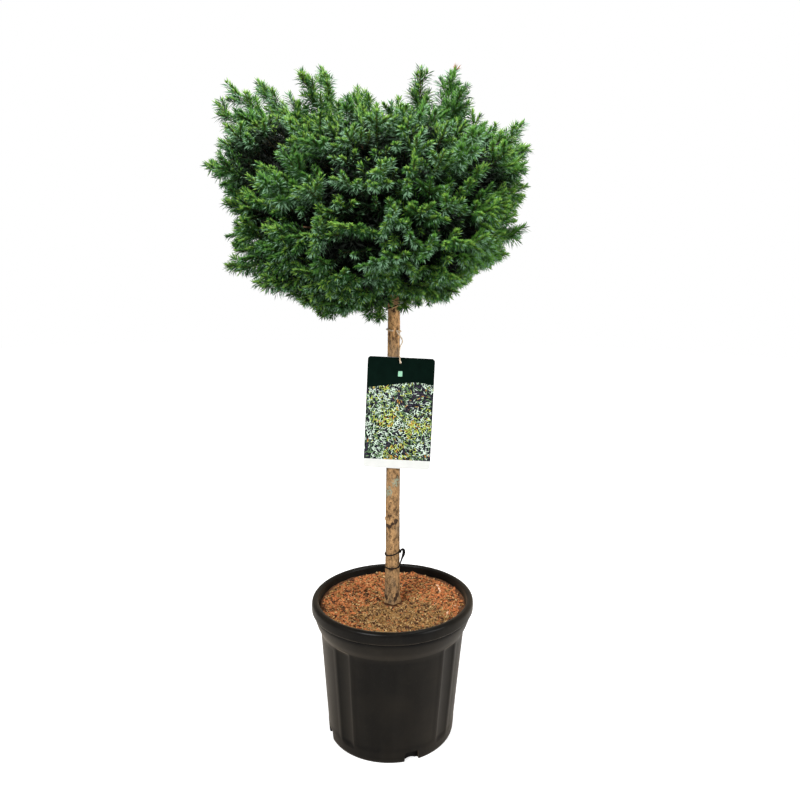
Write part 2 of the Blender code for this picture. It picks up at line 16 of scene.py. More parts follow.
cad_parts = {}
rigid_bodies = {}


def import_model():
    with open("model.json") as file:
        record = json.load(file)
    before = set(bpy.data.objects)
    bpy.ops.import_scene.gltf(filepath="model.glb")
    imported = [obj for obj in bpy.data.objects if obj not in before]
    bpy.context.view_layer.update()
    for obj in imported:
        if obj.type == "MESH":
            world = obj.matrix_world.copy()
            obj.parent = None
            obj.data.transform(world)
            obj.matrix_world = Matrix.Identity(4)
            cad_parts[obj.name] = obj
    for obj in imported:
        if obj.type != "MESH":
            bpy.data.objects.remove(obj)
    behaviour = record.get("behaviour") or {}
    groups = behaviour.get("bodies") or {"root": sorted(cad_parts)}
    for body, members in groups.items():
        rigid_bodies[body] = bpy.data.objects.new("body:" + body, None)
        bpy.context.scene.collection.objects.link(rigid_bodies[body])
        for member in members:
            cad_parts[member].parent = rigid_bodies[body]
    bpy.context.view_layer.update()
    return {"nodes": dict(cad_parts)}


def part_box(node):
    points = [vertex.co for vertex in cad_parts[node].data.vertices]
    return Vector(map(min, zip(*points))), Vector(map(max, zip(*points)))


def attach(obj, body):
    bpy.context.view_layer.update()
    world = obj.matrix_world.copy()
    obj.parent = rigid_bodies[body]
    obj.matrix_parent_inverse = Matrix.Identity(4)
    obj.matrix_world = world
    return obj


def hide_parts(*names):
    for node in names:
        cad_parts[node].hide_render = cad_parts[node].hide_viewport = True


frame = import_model()
BODY = "root"
SEED = 7

# ---------------------------------------------------------------- sizes

LIP_RADIUS, _, POT_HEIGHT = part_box("pot")[1]
SOIL_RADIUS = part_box("soil")[1][0]
TRUNK_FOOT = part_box("trunk")[0][2]
TRUNK_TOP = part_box("trunk")[1][2]
SOIL_HEIGHT = TRUNK_FOOT - 0.0003
MASS_NODES = sorted(name for name in frame["nodes"] if name.startswith("mass_"))
BOUGH_NODES = sorted(name for name in frame["nodes"] if name.startswith("bough_"))

POT_SIDES = 360
POT_FOOT_RADIUS = 0.1185
POT_NECK_HEIGHT = 0.198
POT_NECK_RADIUS = 0.137
RIM_RADIUS = 0.1505
MOUTH_RADIUS = 0.1410
WALL = 0.0055
POT_FLOOR = 0.023
BED_LOW = 0.0240                  # the mulch bed reaches down to just over the floor
FLUTE_COUNT = 4
FLUTE_AZIMUTH = 53.0
FLUTE_HALF_WIDTH = 7.0            # degrees
FLUTE_DEPTH = 0.0030
FLUTE_EASE = 0.006                # length over which a flute runs out at its ends
FLUTE_LOW, FLUTE_HIGH = 0.018, 0.203
PANEL_LOW, PANEL_HIGH = 0.022, 0.1985
PANEL_DEPTH = 0.0007
NOTCH_COUNT = 4
NOTCH_AZIMUTH = 22.0
NOTCH_WIDTH = 0.027
NOTCH_HEIGHT = 0.018
NOTCH_DEPTH = 0.022
NOTCH_ROUND = 0.0012
CHANNEL_HEIGHT = 0.019
PAD_RADIUS = 0.055

STREW_STEP = 0.006
STREW_LIFT = 0.0012
STREW_NEAR = 0.020                # shreds keep off the stem and, by the margin, off the wall
STREW_MARGIN = 0.009
SHRED_SHAPES = 7
SHRED_SINK = 0.0013
SHRED_SIZES = {                   # lengths, widths, thicknesses and the most bend
    "shreds": ((0.008, 0.017), (0.0022, 0.0046), (0.0010, 0.0019), 0.35),
    "crumbs": ((0.003, 0.0065), (0.0018, 0.0034), (0.0010, 0.0018), 0.3),
}
SHRED_LAYERS = (                  # name, number to the square metre, smallest, largest, tilt, tone, where
    ("shreds_dark", 9000, 0.7, 1.1, 0.35, "chip_dark", "everywhere"),
    ("shreds_brown", 15000, 0.6, 1.1, 0.40, "chip_brown", "everywhere"),
    ("shreds_red", 26000, 0.6, 1.2, 0.45, "chip_red", "around"),
    ("shreds_pale", 480, 0.8, 1.5, 0.20, "chip_pale", "right"),
    ("crumbs_olive", 62000, 0.6, 1.3, 0.8, "chip_olive", "front"),
    ("crumbs_rust", 16000, 0.6, 1.2, 0.8, "chip_red", "front"),
    ("crumbs_tan", 24000, 0.6, 1.2, 0.8, "chip_tan", "everywhere"),
    ("crumbs_red", 42000, 0.6, 1.3, 0.9, "chip_red", "around"),
)

GRAFT_HEIGHT = 0.800
TRUNK_RADIUS_FOOT = 0.0146
TRUNK_RADIUS_GRAFT = 0.0110
TRUNK_RADIUS_TOP = 0.0060
FLARE = 0.0008
FLARE_HEIGHT = 0.020
TRUNK_X = -0.0014
TRUNK_LEAN = -0.0087
# branch scars: a whorl on the clear stem, a nub, and swellings round the graft
KNOTS = (                         # round (radians), height, size, half width, half height
    (-0.5, 0.3975, 0.0009, 0.28, 0.0050), (0.35, 0.4010, 0.0012, 0.30, 0.0045),
    (1.2, 0.3950, 0.0008, 0.35, 0.0050), (2.6, 0.3990, 0.0009, 0.35, 0.0050),
    (-1.42, 0.4070, 0.0020, 0.20, 0.0028), (-2.4, 0.3940, 0.0008, 0.35, 0.0050),
    (-0.1, 0.8200, 0.0012, 0.45, 0.0080), (0.9, 0.8090, 0.0010, 0.40, 0.0070),
    (0.15, 0.7960, 0.0008, 0.30, 0.0060), (2.2, 0.8150, 0.0012, 0.45, 0.0080),
    (-2.0, 0.8100, 0.0010, 0.45, 0.0080), (0.2, 0.3000, 0.0005, 0.30, 0.0060),
)
SCARS = (((0.0060, -0.0130, 0.4060), (0.0068, 0.0090, 0.0056)),       # place, size
         ((-0.0015, -0.0150, 0.4010), (0.0070, 0.0090, 0.0032)),
         ((-0.0105, -0.0110, 0.3965), (0.0075, 0.0090, 0.0048)),
         ((0.0080, -0.0140, 0.2590), (0.0065, 0.0080, 0.0080)),
         ((-0.0120, -0.0080, 0.2560), (0.0060, 0.0080, 0.0060)),
         ((-0.0060, -0.0130, 0.8040), (0.0040, 0.0080, 0.0060)))
LICHENS = (((0.0035, -0.0130, 0.4790), (0.0105, 0.0110, 0.0092)),
           ((-0.0120, -0.0090, 0.4630), (0.0120, 0.0110, 0.0110)))

# the head grows by the same rule as its solids: the heart, the masses and the long shoots
HEART = np.array((-0.0065, 0.0, 0.930))
BLEND = 22.0
SKIRT = 0.50
HOLLOWS = ((0, -90, 0.140), (8, -52, 0.130), (-70, 73, 0.225))   # under, by the stem, on top
MASSES = (
    ("low_left", -95, -30, 0.230),
    ("low_front_left", -38, -32, 0.210),
    ("low_front_right", 25, -32, 0.196),
    ("low_right", 85, -30, 0.158),
    ("low_back_right", 145, -32, 0.190),
    ("low_back_left", -152, -32, 0.212),
    ("side_left", -90, 2, 0.302),
    ("side_front_left", -36, 4, 0.285),
    ("side_front_right", 24, 4, 0.255),
    ("side_right", 88, 4, 0.227),
    ("side_back_right", 148, 4, 0.250),
    ("side_back_left", -148, 4, 0.285),
    ("shoulder_left", -92, 34, 0.385),
    ("shoulder_front", -14, 40, 0.295),
    ("shoulder_right", 88, 38, 0.298),
    ("shoulder_back", 170, 40, 0.300),
    ("top_left", -92, 61, 0.298),
    ("top_middle", -60, 86, 0.226),
    ("top_right", 84, 70, 0.284),
)
LEADERS = (
    (-81, 42, 0.409), (-100, 36, 0.441), (-76, 28, 0.356), (-98, 21, 0.399), (-77, 12, 0.312),
    (-99, -9, 0.339), (-79, -18, 0.270), (-105, 47, 0.417), (-72, 52, 0.322), (-70, 59, 0.344),
    (-110, 64, 0.365), (-127, 71, 0.312), (40, 77, 0.314), (122, 69, 0.363), (61, 62, 0.310),
    (106, 62, 0.305), (77, 42, 0.319), (103, 36, 0.320), (70, 29, 0.284), (102, 21, 0.262),
    (81, 7, 0.248), (150, 46, 0.345), (-150, 38, 0.375), (-24, 52, 0.290), (36, 34, 0.305),
    (-40, 16, 0.318), (-160, 8, 0.312), (-32, -62, 0.164), (25, -68, 0.138), (-20, -66, 0.158),
    (-64, 77, 0.276),
)
LEADER_NARROW = 150.0             # how narrowly a long shoot lifts the head's surface
ATTACH_RISE = 0.048               # how far above the heart a bough that points straight up would leave
ATTACH_STAGGER = 0.0065
BOUGH_RADIUS_FOOT = 0.0052
STEM_RADIUS_TIP = 0.0020
BOUGH_POINTS = 26

GOLDEN_ANGLE = math.pi * (3.0 - math.sqrt(5.0))
SPRAY_COUNT = 400
SPRAY_LOWEST = -72.0
TIP_SPACING = 0.054
SPRAY_ROOT = 0.52
SIDE_SHOOTS = ((0.021, 0.024), (0.042, 0.036), (0.066, 0.044))   # behind the tip, length
FINE_COUNT = 1150
FINE_SPACING = 0.0335
FINE_REACH = (0.86, 0.98)
FINE_ROOT = 0.62
FINE_SHOOTS = ((0.026, 0.026), (0.052, 0.036))
LEADER_SHOOTS = ((0.024, 0.018), (0.040, 0.023), (0.058, 0.028), (0.078, 0.032), (0.100, 0.034),
                 (0.124, 0.036))
LEADER_NEEDLE_SCALE = 1.34
LEADER_SPREAD = 9.0
LEADER_CLOSE = 8.0                # degrees by which its side shoots lean closer
UPPER_SHOOT_CHANCE = 0.6
SHOOT_JITTER = 0.007              # side shoots leave a little before or behind their place
SHOOT_MISSING = 0.06
SHOOT_LEAN = (40, 56)             # degrees off the main shoot
FAN_ROLL = 46                     # how far fans turn from level, in degrees
INNER_COUNT = 235
INNER_DEPTH = 0.064               # how far the inner sprays end under the head's surface
INNER_ROOT = 0.16
INNER_SHOOTS = ((0.030, 0.050), (0.060, 0.060))
INNER_CLEAR = 0.040               # and how far under it their side shoots stay
PATH_POINTS = 6
TWIG_RADIUS = 0.0008
SIDE_TWIG_RADIUS = 0.0005
NEEDLE_LENGTH = 0.0138
NEEDLE_WIDTH = 0.0021
NEEDLE_OVERHANG = 0.010           # how far the last needles stand past their shoot
INNER_NEEDLE_SCALE = 1.8
TOP_CROWDING = 0.45               # needles crowd over the top of a shoot and hide its twig
NEEDLES_PER_METRE = (2750.0, 520.0)      # outer and inner layers
PIECE_NEEDLES = 48000             # four triangles each, so a piece stays under 200,000
DRY_TIP = 13                      # the long shoot with a withered end
DRY_LENGTH = 0.007
LIT_SIDE = (78, -8)
LIT_SIDE_FRESH = 0.50                # share of needles dealt the light fresh tone on the lit side, as painted light
DEEP_UNDER = 0.052                # depths under the head's surface past which needles are dealt the painted-shade tones deep and shade
SHADE_UNDER = 0.078
THIN_FROM, THIN_TO = 0.050, 0.100    # the outer shoots lose needles over these depths
THIN_KEEP = 0.14

LABEL_SIZE = (0.1245, 0.2092)
LABEL_CENTRE = (0.0070, 0.6126)
LABEL_TURN = 1.7
LABEL_CORNER = 0.006
LABEL_BACK = -0.0136
LABEL_HOLE = (0.0083, 0.7077)
HOLE_RIM = 0.0019
HEADER_EDGE = ((1.0, 0.0500), (0.77, 0.0474), (0.55, 0.0455), (0.38, 0.0450), (0.22, 0.0462),
               (0.0, 0.0490), (-0.32, 0.0520), (-0.65, 0.0552), (-1.0, 0.0584))   # across, down
HEADER_LEAST = 0.0448
PATCHES = ({"print_pale": 9, "print_mid": 4, "print_lime": 1, "print_dark": 2},
           {"print_lime": 7, "print_mid": 4, "print_amber": 2, "print_pale": 3},
           {"print_dark": 9, "print_mid": 3, "print_pale": 2, "print_amber": 1},
           {"print_mid": 7, "print_pale": 4, "print_lime": 3, "print_dark": 3})
PATCH_COUNT = 34
CARD_THICKNESS = 0.0008
PRINT_THICKNESS = 0.0001
PRINT_EDGE = 0.0002               # how far the print stays inside the card's edge
HEADER_DEPTH = 0.00085
GROUND_DEPTH = 0.00045
STRIP_HEIGHT = 0.0165             # the bare strip along the bottom
MARK_SIZE = (0.0078, 0.0100, 0.0012)     # width, height, corner
MARK_FROM_HOLE = (0.0004, -0.0212)
MARK_DEPTH = 0.00096
LEAF_GRID = (27, 34)              # pairs of leaves across and up the pattern
LEAF_POINTS = 10
LEAF_LENGTH = (0.0048, 0.0082)
LEAF_WIDTH = (0.0009, 0.0016)
LEAF_TURN = (0.35, 0.75)          # off the line they stand on
LEAF_DEPTH = 0.00052
LEAF_STEP = 0.000004              # neighbours lie at their own depths
LEAF_STEPS = 23
STRING_RADIUS = 0.0014
STRING_HEIGHT = 0.7660
STRING_TWIST = 420.0              # turns to the metre
TIE_RADIUS = 0.0013
TIE_HEIGHTS = (0.3145, 0.3410, 0.8110)
TIE_TILTS = (0.08, 0.22, 0.33)
TIE_LOOP = ((0.0128, -0.0090, 0.3432), (0.0150, -0.0060, 0.3484), (0.0180, -0.0050, 0.3486),
            (0.0196, -0.0040, 0.3443), (0.0186, -0.0050, 0.3376), (0.0164, -0.0070, 0.3325),
            (0.0143, -0.0095, 0.3267), (0.0120, -0.0120, 0.3210), (0.0092, -0.0145, 0.3160))
TIE_LOOP_SWELL = 1.30             # the twisted end is thicker than the band


# ---------------------------------------------------------------- colours

STEM_BARK = ((0.285, 0.165, 0.072), (0.066, 0.034, 0.016), (0.200, 0.155, 0.105))    # lit, dark, grey
LIMB_BARK = ((0.150, 0.085, 0.045), (0.060, 0.032, 0.018), (0.110, 0.085, 0.060))
TWIG_BARK = ((0.075, 0.060, 0.022), (0.036, 0.030, 0.011), (0.060, 0.055, 0.026))
PAINTED_LIGHT_FROM, PAINTED_LIGHT_TO = 0.60, 0.78      # painted light: the stem's bark is lighter towards the graft, against the shade the head casts on it
PAINTED_LIGHT_BARK = (1.50, 1.45, 1.40)
SCAR_BARK = (0.026, 0.014, 0.010)
LICHEN = (0.270, 0.320, 0.235)
NEEDLE_TONES = {
    "tip": (0.215, 0.400, 0.052),
    "fresh": (0.085, 0.240, 0.028),
    "green": (0.020, 0.090, 0.013),
    "blue": (0.235, 0.430, 0.250),
    # deep and shade: painted shade, dealt to needles deep in the head and to the inner sprays
    "deep": (0.008, 0.032, 0.006),
    "shade": (0.0018, 0.0060, 0.0018),
    "dry": (0.300, 0.135, 0.055),
}
MULCH_TONES = {                      # the dark and the light of each shred
    "mulch_bed": ((0.060, 0.024, 0.011), (0.190, 0.080, 0.034)),
    "chip_red": ((0.235, 0.074, 0.024), (0.630, 0.222, 0.076)),
    "chip_brown": ((0.150, 0.072, 0.020), (0.430, 0.240, 0.080)),
    "chip_olive": ((0.180, 0.094, 0.032), (0.420, 0.245, 0.096)),
    "chip_tan": ((0.370, 0.220, 0.085), (0.640, 0.430, 0.200)),
    "chip_dark": ((0.035, 0.016, 0.008), (0.095, 0.040, 0.019)),
    "chip_pale": ((0.620, 0.360, 0.210), (0.860, 0.590, 0.400)),
}
PRINT_TONES = {
    "card_green": (0.0010, 0.0060, 0.0038),
    "card_ground": (0.010, 0.012, 0.014),
    "card_mark": (0.300, 0.580, 0.400),
    "print_lime": (0.430, 0.500, 0.090),
    "print_pale": (0.560, 0.680, 0.560),
    "print_mid": (0.140, 0.240, 0.110),
    "print_dark": (0.040, 0.032, 0.052),
    "print_amber": (0.480, 0.240, 0.050),
}
CARD_WHITE = (0.660, 0.665, 0.640)
STRING_TONES = ((0.600, 0.450, 0.290), (0.860, 0.720, 0.540))
TIE_BLACK = (0.0070, 0.0065, 0.0060)


# ---------------------------------------------------------------- helpers

def direction(azimuth, elevation):
    a, e = math.radians(azimuth), math.radians(elevation)
    return np.array((math.sin(a) * math.cos(e), -math.cos(a) * math.cos(e), math.sin(e)))


def unit(v):
    return v / np.linalg.norm(v, axis=-1, keepdims=True)


def angles_round(sides):
    return 2 * np.pi * np.arange(sides) / sides


def link_object(name, data, collection=None):
    obj = bpy.data.objects.new(name, data)
    (collection or bpy.context.scene.collection).objects.link(obj)
    return obj


def new_collection(name):
    collection = bpy.data.collections.new(name)
    bpy.context.scene.collection.children.link(collection)
    return collection


def drop_collection(collection):
    for obj in list(collection.objects):
        bpy.data.objects.remove(obj, do_unlink=True)
    bpy.data.collections.remove(collection)


def finished_mesh(bm, name):
    """A mesh from a bmesh, which is freed."""
    mesh = bpy.data.meshes.new(name)
    bm.to_mesh(mesh)
    bm.free()
    return mesh


def evaluated_mesh(draft):
    """The mesh that a draft's curve or modifiers make; the draft is removed."""
    graph = bpy.context.evaluated_depsgraph_get()
    mesh = bpy.data.meshes.new_from_object(draft.evaluated_get(graph), depsgraph=graph)
    bpy.data.objects.remove(draft, do_unlink=True)
    return mesh


def piece(name, mesh, mat, replaces=(), smooth=False):
    """Link a finished mesh, at the origin, parent it to the body and hide the parts it replaces."""
    mesh.materials.clear()
    mesh.materials.append(mat)
    obj = link_object(name, mesh)
    if smooth:
        mesh.shade_smooth()
    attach(obj, BODY)
    if replaces:
        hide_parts(*replaces)


def array_mesh(name, verts, tris):
    """A triangle mesh from numpy arrays."""
    mesh = bpy.data.meshes.new(name)
    count = len(tris)
    mesh.vertices.add(len(verts))
    mesh.vertices.foreach_set("co", np.ascontiguousarray(verts, dtype=np.float32).ravel())
    mesh.loops.add(count * 3)
    mesh.loops.foreach_set("vertex_index", np.ascontiguousarray(tris, dtype=np.int32).ravel())
    mesh.polygons.add(count)
    mesh.polygons.foreach_set("loop_start", np.arange(0, count * 3, 3, dtype=np.int32))
    mesh.update(calc_edges=True)
    return mesh


def grid_tris(index):
    """Two triangles for each square between rings of vertex numbers (..., rings, sides)."""
    a, b = index[..., :-1, :], index[..., 1:, :]
    a2, b2 = np.roll(a, -1, -1), np.roll(b, -1, -1)
    return np.stack((np.stack((a, b, b2), -1), np.stack((a, b2, a2), -1)), -2).reshape(-1, 3)


def ring_at(radius, angle, height, middle=(0.0, 0.0)):
    """Points round a middle, the first one at the front."""
    return np.stack((middle[0] + radius * np.sin(angle), middle[1] - radius * np.cos(angle),
                     np.full(len(angle), height)), -1)


def ring_mesh(name, rings, ends, turned=False):
    """A closed skin over rings with a middle point at each end; turned, its faces face the other way."""
    count, sides = len(rings), len(rings[0])
    index = np.arange(count * sides).reshape(count, sides)
    first, last = index[0], index[-1]
    start = np.stack((np.full(sides, count * sides), first, np.roll(first, -1)), -1)
    end = np.stack((np.full(sides, count * sides + 1), np.roll(last, -1), last), -1)
    tris = np.concatenate((grid_tris(index), start, end))
    return array_mesh(name, np.concatenate((*rings, ends)), tris[:, ::-1] if turned else tris)


def tube_arrays(paths, radii, sides):
    """Closed tubes along many paths at once: paths (n, p, 3), radii (n, p)."""
    n, p = paths.shape[:2]
    along = unit(np.gradient(paths, axis=1))
    helper = np.where(np.abs(along[:, :1, 2:]) > 0.8, np.array((1.0, 0.0, 0.0)),
                      np.array((0.0, 0.0, 1.0)))
    across = unit(np.cross(along, np.broadcast_to(helper, along.shape)))
    other = np.cross(across, along)
    turn = angles_round(sides)[:, None]
    ring = across[:, :, None] * np.cos(turn) + other[:, :, None] * np.sin(turn)
    verts = paths[:, :, None] + ring * radii[:, :, None, None]
    index = np.arange(n * p * sides).reshape(n, p, sides)
    first, last = index[:, 0], index[:, -1]
    caps = [np.stack((first[:, 0], first[:, k], first[:, k + 1]), -1) for k in range(1, sides - 1)]
    caps += [np.stack((last[:, 0], last[:, k + 1], last[:, k]), -1) for k in range(1, sides - 1)]
    return verts.reshape(-1, 3), np.concatenate([grid_tris(index)] + caps)


def closed_ring(path, radius, sides):
    """A tube round a closed loop."""
    along = unit(np.roll(path, -1, 0) - np.roll(path, 1, 0))
    out = unit(path - path.mean(0))
    up = np.cross(along, out)
    turn = angles_round(sides)[:, None]
    verts = path[:, None] + (out[:, None] * np.cos(turn) + up[:, None] * np.sin(turn)) * radius
    index = np.arange(len(path) * sides).reshape(-1, sides)
    return verts.reshape(-1, 3), grid_tris(np.vstack((index, index[:1])))[:, ::-1]


def join_arrays(parts):
    """Join (verts, tris) pairs into one."""
    verts, tris, base = [], [], 0
    for v, t in parts:
        verts.append(v)
        tris.append(t + base)
        base += len(v)
    return np.concatenate(verts), np.concatenate(tris)


def smooth_path(points, samples):
    """A Catmull-Rom curve through the points."""
    pts = np.array([points[0]] + list(points) + [points[-1]], dtype=float)
    spans = len(pts) - 3
    out = []
    for s in np.linspace(0, spans - 1e-9, samples):
        i, t = int(s), s - int(s)
        p0, p1, p2, p3 = pts[i:i + 4]
        out.append(0.5 * (2 * p1 + (p2 - p0) * t + (2 * p0 - 5 * p1 + 4 * p2 - p3) * t ** 2
                          + (3 * p1 - p0 - 3 * p2 + p3) * t ** 3))
    return np.array(out)


# ---------------------------------------------------------------- materials

class Nodes:
    """A short way to lay out a node tree."""

    def __init__(self, tree):
        self.tree = tree

    def add(self, kind, inputs=None, **settings):
        """Add a node; its inputs are linked or set by their name or number."""
        node = self.tree.nodes.new(kind)
        for key, value in settings.items():
            setattr(node, key, value)
        for key, value in (inputs or {}).items():
            self.link(value, node.inputs[key])
        return node

    def link(self, value, socket):
        """Link an output to an input, or set the input to a plain number, colour or vector."""
        if isinstance(value, bpy.types.NodeSocket):
            self.tree.links.new(value, socket)
        elif socket.type == "RGBA":
            socket.default_value = (*value, 1.0)
        else:
            socket.default_value = value

    def noise(self, coords, scale, detail=3.0, rough=0.55):
        inputs = {"Vector": coords, "Scale": scale, "Detail": detail, "Roughness": rough}
        return self.add("ShaderNodeTexNoise", inputs).outputs["Fac"]

    def ramp(self, fac, stops):
        node = self.add("ShaderNodeValToRGB", {"Fac": fac})
        elements = node.color_ramp.elements
        while len(elements) < len(stops):
            elements.new(0.5)
        for element, (place, colour) in zip(elements, stops):
            element.position = place
            element.color = (*colour, 1.0)
        return node.outputs["Color"]

    def step(self, fac, low, high):
        """A mask that goes from black to white between two values."""
        return self.ramp(fac, ((low, (0, 0, 0)), (high, (1, 1, 1))))

    def mix(self, fac, a, b, blend="MIX"):
        inputs = {"Factor": fac, "A": a, "B": b}
        return self.add("ShaderNodeMix", inputs, data_type="RGBA", blend_type=blend).outputs["Result"]

    def math(self, operation, a, b=0.0):
        return self.add("ShaderNodeMath", {0: a, 1: b}, operation=operation).outputs[0]

    def vector(self, operation, a, b=(0.0, 0.0, 0.0)):
        node = self.add("ShaderNodeVectorMath", {0: a, 1: b}, operation=operation)
        return node.outputs["Value" if operation == "LENGTH" else "Vector"]

    def mapped(self, value, low, high, to_low=0.0, to_high=1.0):
        """A value moved from one range to another, and held inside it."""
        inputs = {"Value": value, "From Min": low, "From Max": high, "To Min": to_low, "To Max": to_high}
        return self.add("ShaderNodeMapRange", inputs).outputs["Result"]

    def stretched(self, coords, scale):
        return self.add("ShaderNodeMapping", {"Vector": coords, "Scale": scale}).outputs["Vector"]

    def spots(self, coords, places, edge, ragged):
        """A mask round several places, their edges broken up by a noise."""
        broken = self.math("MULTIPLY", self.math("SUBTRACT", edge, 0.5), ragged)
        mask = 0.0
        for centre, size in places:
            away = self.vector("DIVIDE", self.vector("SUBTRACT", coords, centre), size)
            value = self.math("ADD", self.vector("LENGTH", away), broken)
            spot = self.ramp(value, ((0.72, (1, 1, 1)), (0.98, (0, 0, 0))))
            mask = self.math("MAXIMUM", spot, mask)
        return mask


def new_material(name, roughness=0.6, specular=0.5):
    mat = bpy.data.materials.new(name)
    mat.use_nodes = True
    nodes = Nodes(mat.node_tree)
    shader = mat.node_tree.nodes["Principled BSDF"]
    shader.inputs["Roughness"].default_value = roughness
    shader.inputs["Specular IOR Level"].default_value = specular
    coords = nodes.add("ShaderNodeTexCoord").outputs["Object"]
    return mat, nodes, shader, coords


def grime_group():
    """Specks and clouds of dust: a colour in, a dusty colour and a mask out."""
    group = bpy.data.node_groups.new("dust_and_specks", "ShaderNodeTree")
    for name, way, kind in (("Vector", "INPUT", "Vector"), ("Color", "INPUT", "Color"),
                            ("Dust", "INPUT", "Color"), ("Amount", "INPUT", "Float"),
                            ("Color", "OUTPUT", "Color"), ("Mask", "OUTPUT", "Float")):
        group.interface.new_socket(name, in_out=way, socket_type="NodeSocket" + kind)
    nodes = Nodes(group)
    into, out = nodes.add("NodeGroupInput"), nodes.add("NodeGroupOutput")
    clouds = nodes.step(nodes.noise(into.outputs["Vector"], 14.0, 4.0), 0.42, 0.72)
    specks = nodes.step(nodes.noise(into.outputs["Vector"], 420.0, 1.0), 0.68, 0.74)
    both = nodes.math("MAXIMUM", nodes.math("MULTIPLY", clouds, 0.45), nodes.math("MULTIPLY", specks, 0.8))
    mask = nodes.math("MULTIPLY", both, into.outputs["Amount"])
    nodes.link(nodes.mix(mask, into.outputs["Color"], into.outputs["Dust"]), out.inputs["Color"])
    nodes.link(mask, out.inputs["Mask"])
    return group


def dusty(nodes, group, coords, colour, dust, amount):
    inputs = {"Vector": coords, "Color": colour, "Dust": dust, "Amount": amount}
    node = nodes.add("ShaderNodeGroup", inputs, node_tree=group)
    return node.outputs["Color"], node.outputs["Mask"]


def bump(nodes, shader, height, strength, distance):
    node = nodes.add("ShaderNodeBump", {"Strength": strength, "Distance": distance, "Height": height})
    nodes.link(node.outputs["Normal"], shader.inputs["Normal"])


def plastic_material(grime):
    """Black moulded nursery plastic: satin, scuffed, with a brown-grey film of dust and a brown sheen that
    is partly dust and partly a painted reflection.
    """
    mat, nodes, shader, coords = new_material("pot_plastic", 0.46, 0.05)
    # the brown sheen tint is partly the dust film and partly a painted reflection of warm surroundings
    for key, value in (("Coat Weight", 0.07), ("Coat Roughness", 0.20), ("Sheen Weight", 0.18),
                       ("Sheen Roughness", 0.45), ("Sheen Tint", (1.0, 0.79, 0.54))):
        nodes.link(value, shader.inputs[key])
    streaks = nodes.noise(nodes.stretched(coords, (60.0, 60.0, 5.0)), 1.0, 3.0)
    base = nodes.ramp(streaks, ((0.30, (0.0022, 0.0023, 0.0024)), (0.70, (0.0040, 0.0041, 0.0042))))
    colour, mask = dusty(nodes, grime, coords, base, (0.080, 0.062, 0.040), 0.16)
    nodes.link(colour, shader.inputs["Base Color"])
    rough = nodes.math("ADD", nodes.math("MULTIPLY", streaks, 0.18), 0.30)
    nodes.link(nodes.math("ADD", rough, nodes.math("MULTIPLY", mask, 0.35)), shader.inputs["Roughness"])
    fine = nodes.noise(coords, 900.0, 2.0)
    bump(nodes, shader, nodes.math("ADD", fine, nodes.math("MULTIPLY", streaks, 1.5)), 0.12, 0.0004)
    return mat


def bark_material(name, light, dark, grey, places=False):
    """Thin conifer bark: tan scales, dark pores and grey weathering; the stem has its scars too."""
    mat, nodes, shader, coords = new_material(name, 0.88, 0.20)
    scales = nodes.noise(nodes.stretched(coords, (170.0, 170.0, 95.0)), 1.0, 4.0, 0.68)
    patches = nodes.noise(nodes.stretched(coords, (38.0, 38.0, 22.0)), 1.0, 3.0)
    pores = nodes.noise(nodes.stretched(coords, (420.0, 420.0, 300.0)), 1.0, 2.0)
    bright = tuple(min(1.0, c * 1.75) for c in light)
    base = nodes.ramp(scales, ((0.36, dark), (0.48, light), (0.64, bright)))
    weathered = nodes.step(patches, 0.48, 0.68)
    base = nodes.mix(nodes.math("MULTIPLY", weathered, 0.50), base, grey)
    spots = nodes.step(pores, 0.60, 0.67)
    base = nodes.mix(nodes.math("MULTIPLY", spots, 0.80), base, tuple(c * 0.35 for c in dark))
    if places:
        base = stem_marks(nodes, coords, base, scales, pores)
    nodes.link(base, shader.inputs["Base Color"])
    nodes.link(nodes.math("ADD", nodes.math("MULTIPLY", patches, 0.2), 0.75), shader.inputs["Roughness"])
    bump(nodes, shader, nodes.math("ADD", scales, nodes.math("MULTIPLY", pores, 0.4)), 1.0, 0.0016)
    return mat


def stem_marks(nodes, coords, base, scales, pores):
    """Bark lightened above as painted light against the head's shade, dark branch scars, and lacy patches
    of lichen.
    """
    height = nodes.add("ShaderNodeSeparateXYZ", {0: coords}).outputs["Z"]
    # painted light: the bark grows lighter up the stem towards the graft
    lit_upper = nodes.mapped(height, PAINTED_LIGHT_FROM, PAINTED_LIGHT_TO)
    base = nodes.mix(lit_upper, base, PAINTED_LIGHT_BARK, "MULTIPLY")
    scars = nodes.spots(coords, SCARS, scales, 2.2)
    base = nodes.mix(nodes.math("MULTIPLY", scars, 0.88), base, SCAR_BARK)
    lace = nodes.step(pores, 0.44, 0.54)
    lichens = nodes.math("MULTIPLY", nodes.spots(coords, LICHENS, scales, 3.0), lace)
    return nodes.mix(nodes.math("MULTIPLY", lichens, 0.85), base, LICHEN)


def needle_material(name, colour, roughness=0.45):
    """One plain needle colour: the spread of tones comes from dealing them out by spray."""
    mat, nodes, shader, _ = new_material(name, roughness, 0.26)
    nodes.link(colour, shader.inputs["Base Color"])
    return mat


def chip_material(name, dark, light):
    """A shred of bark mulch, mottled dark and light, with a fine grain in its bump."""
    mat, nodes, shader, coords = new_material(name, 0.92, 0.2)
    tone = nodes.noise(coords, 240.0, 3.0)
    nodes.link(nodes.ramp(tone, ((0.30, dark), (0.68, light))), shader.inputs["Base Color"])
    nodes.link(nodes.math("ADD", nodes.math("MULTIPLY", tone, 0.15), 0.80), shader.inputs["Roughness"])
    bump(nodes, shader, nodes.noise(coords, 900.0, 2.0), 0.4, 0.0004)
    return mat


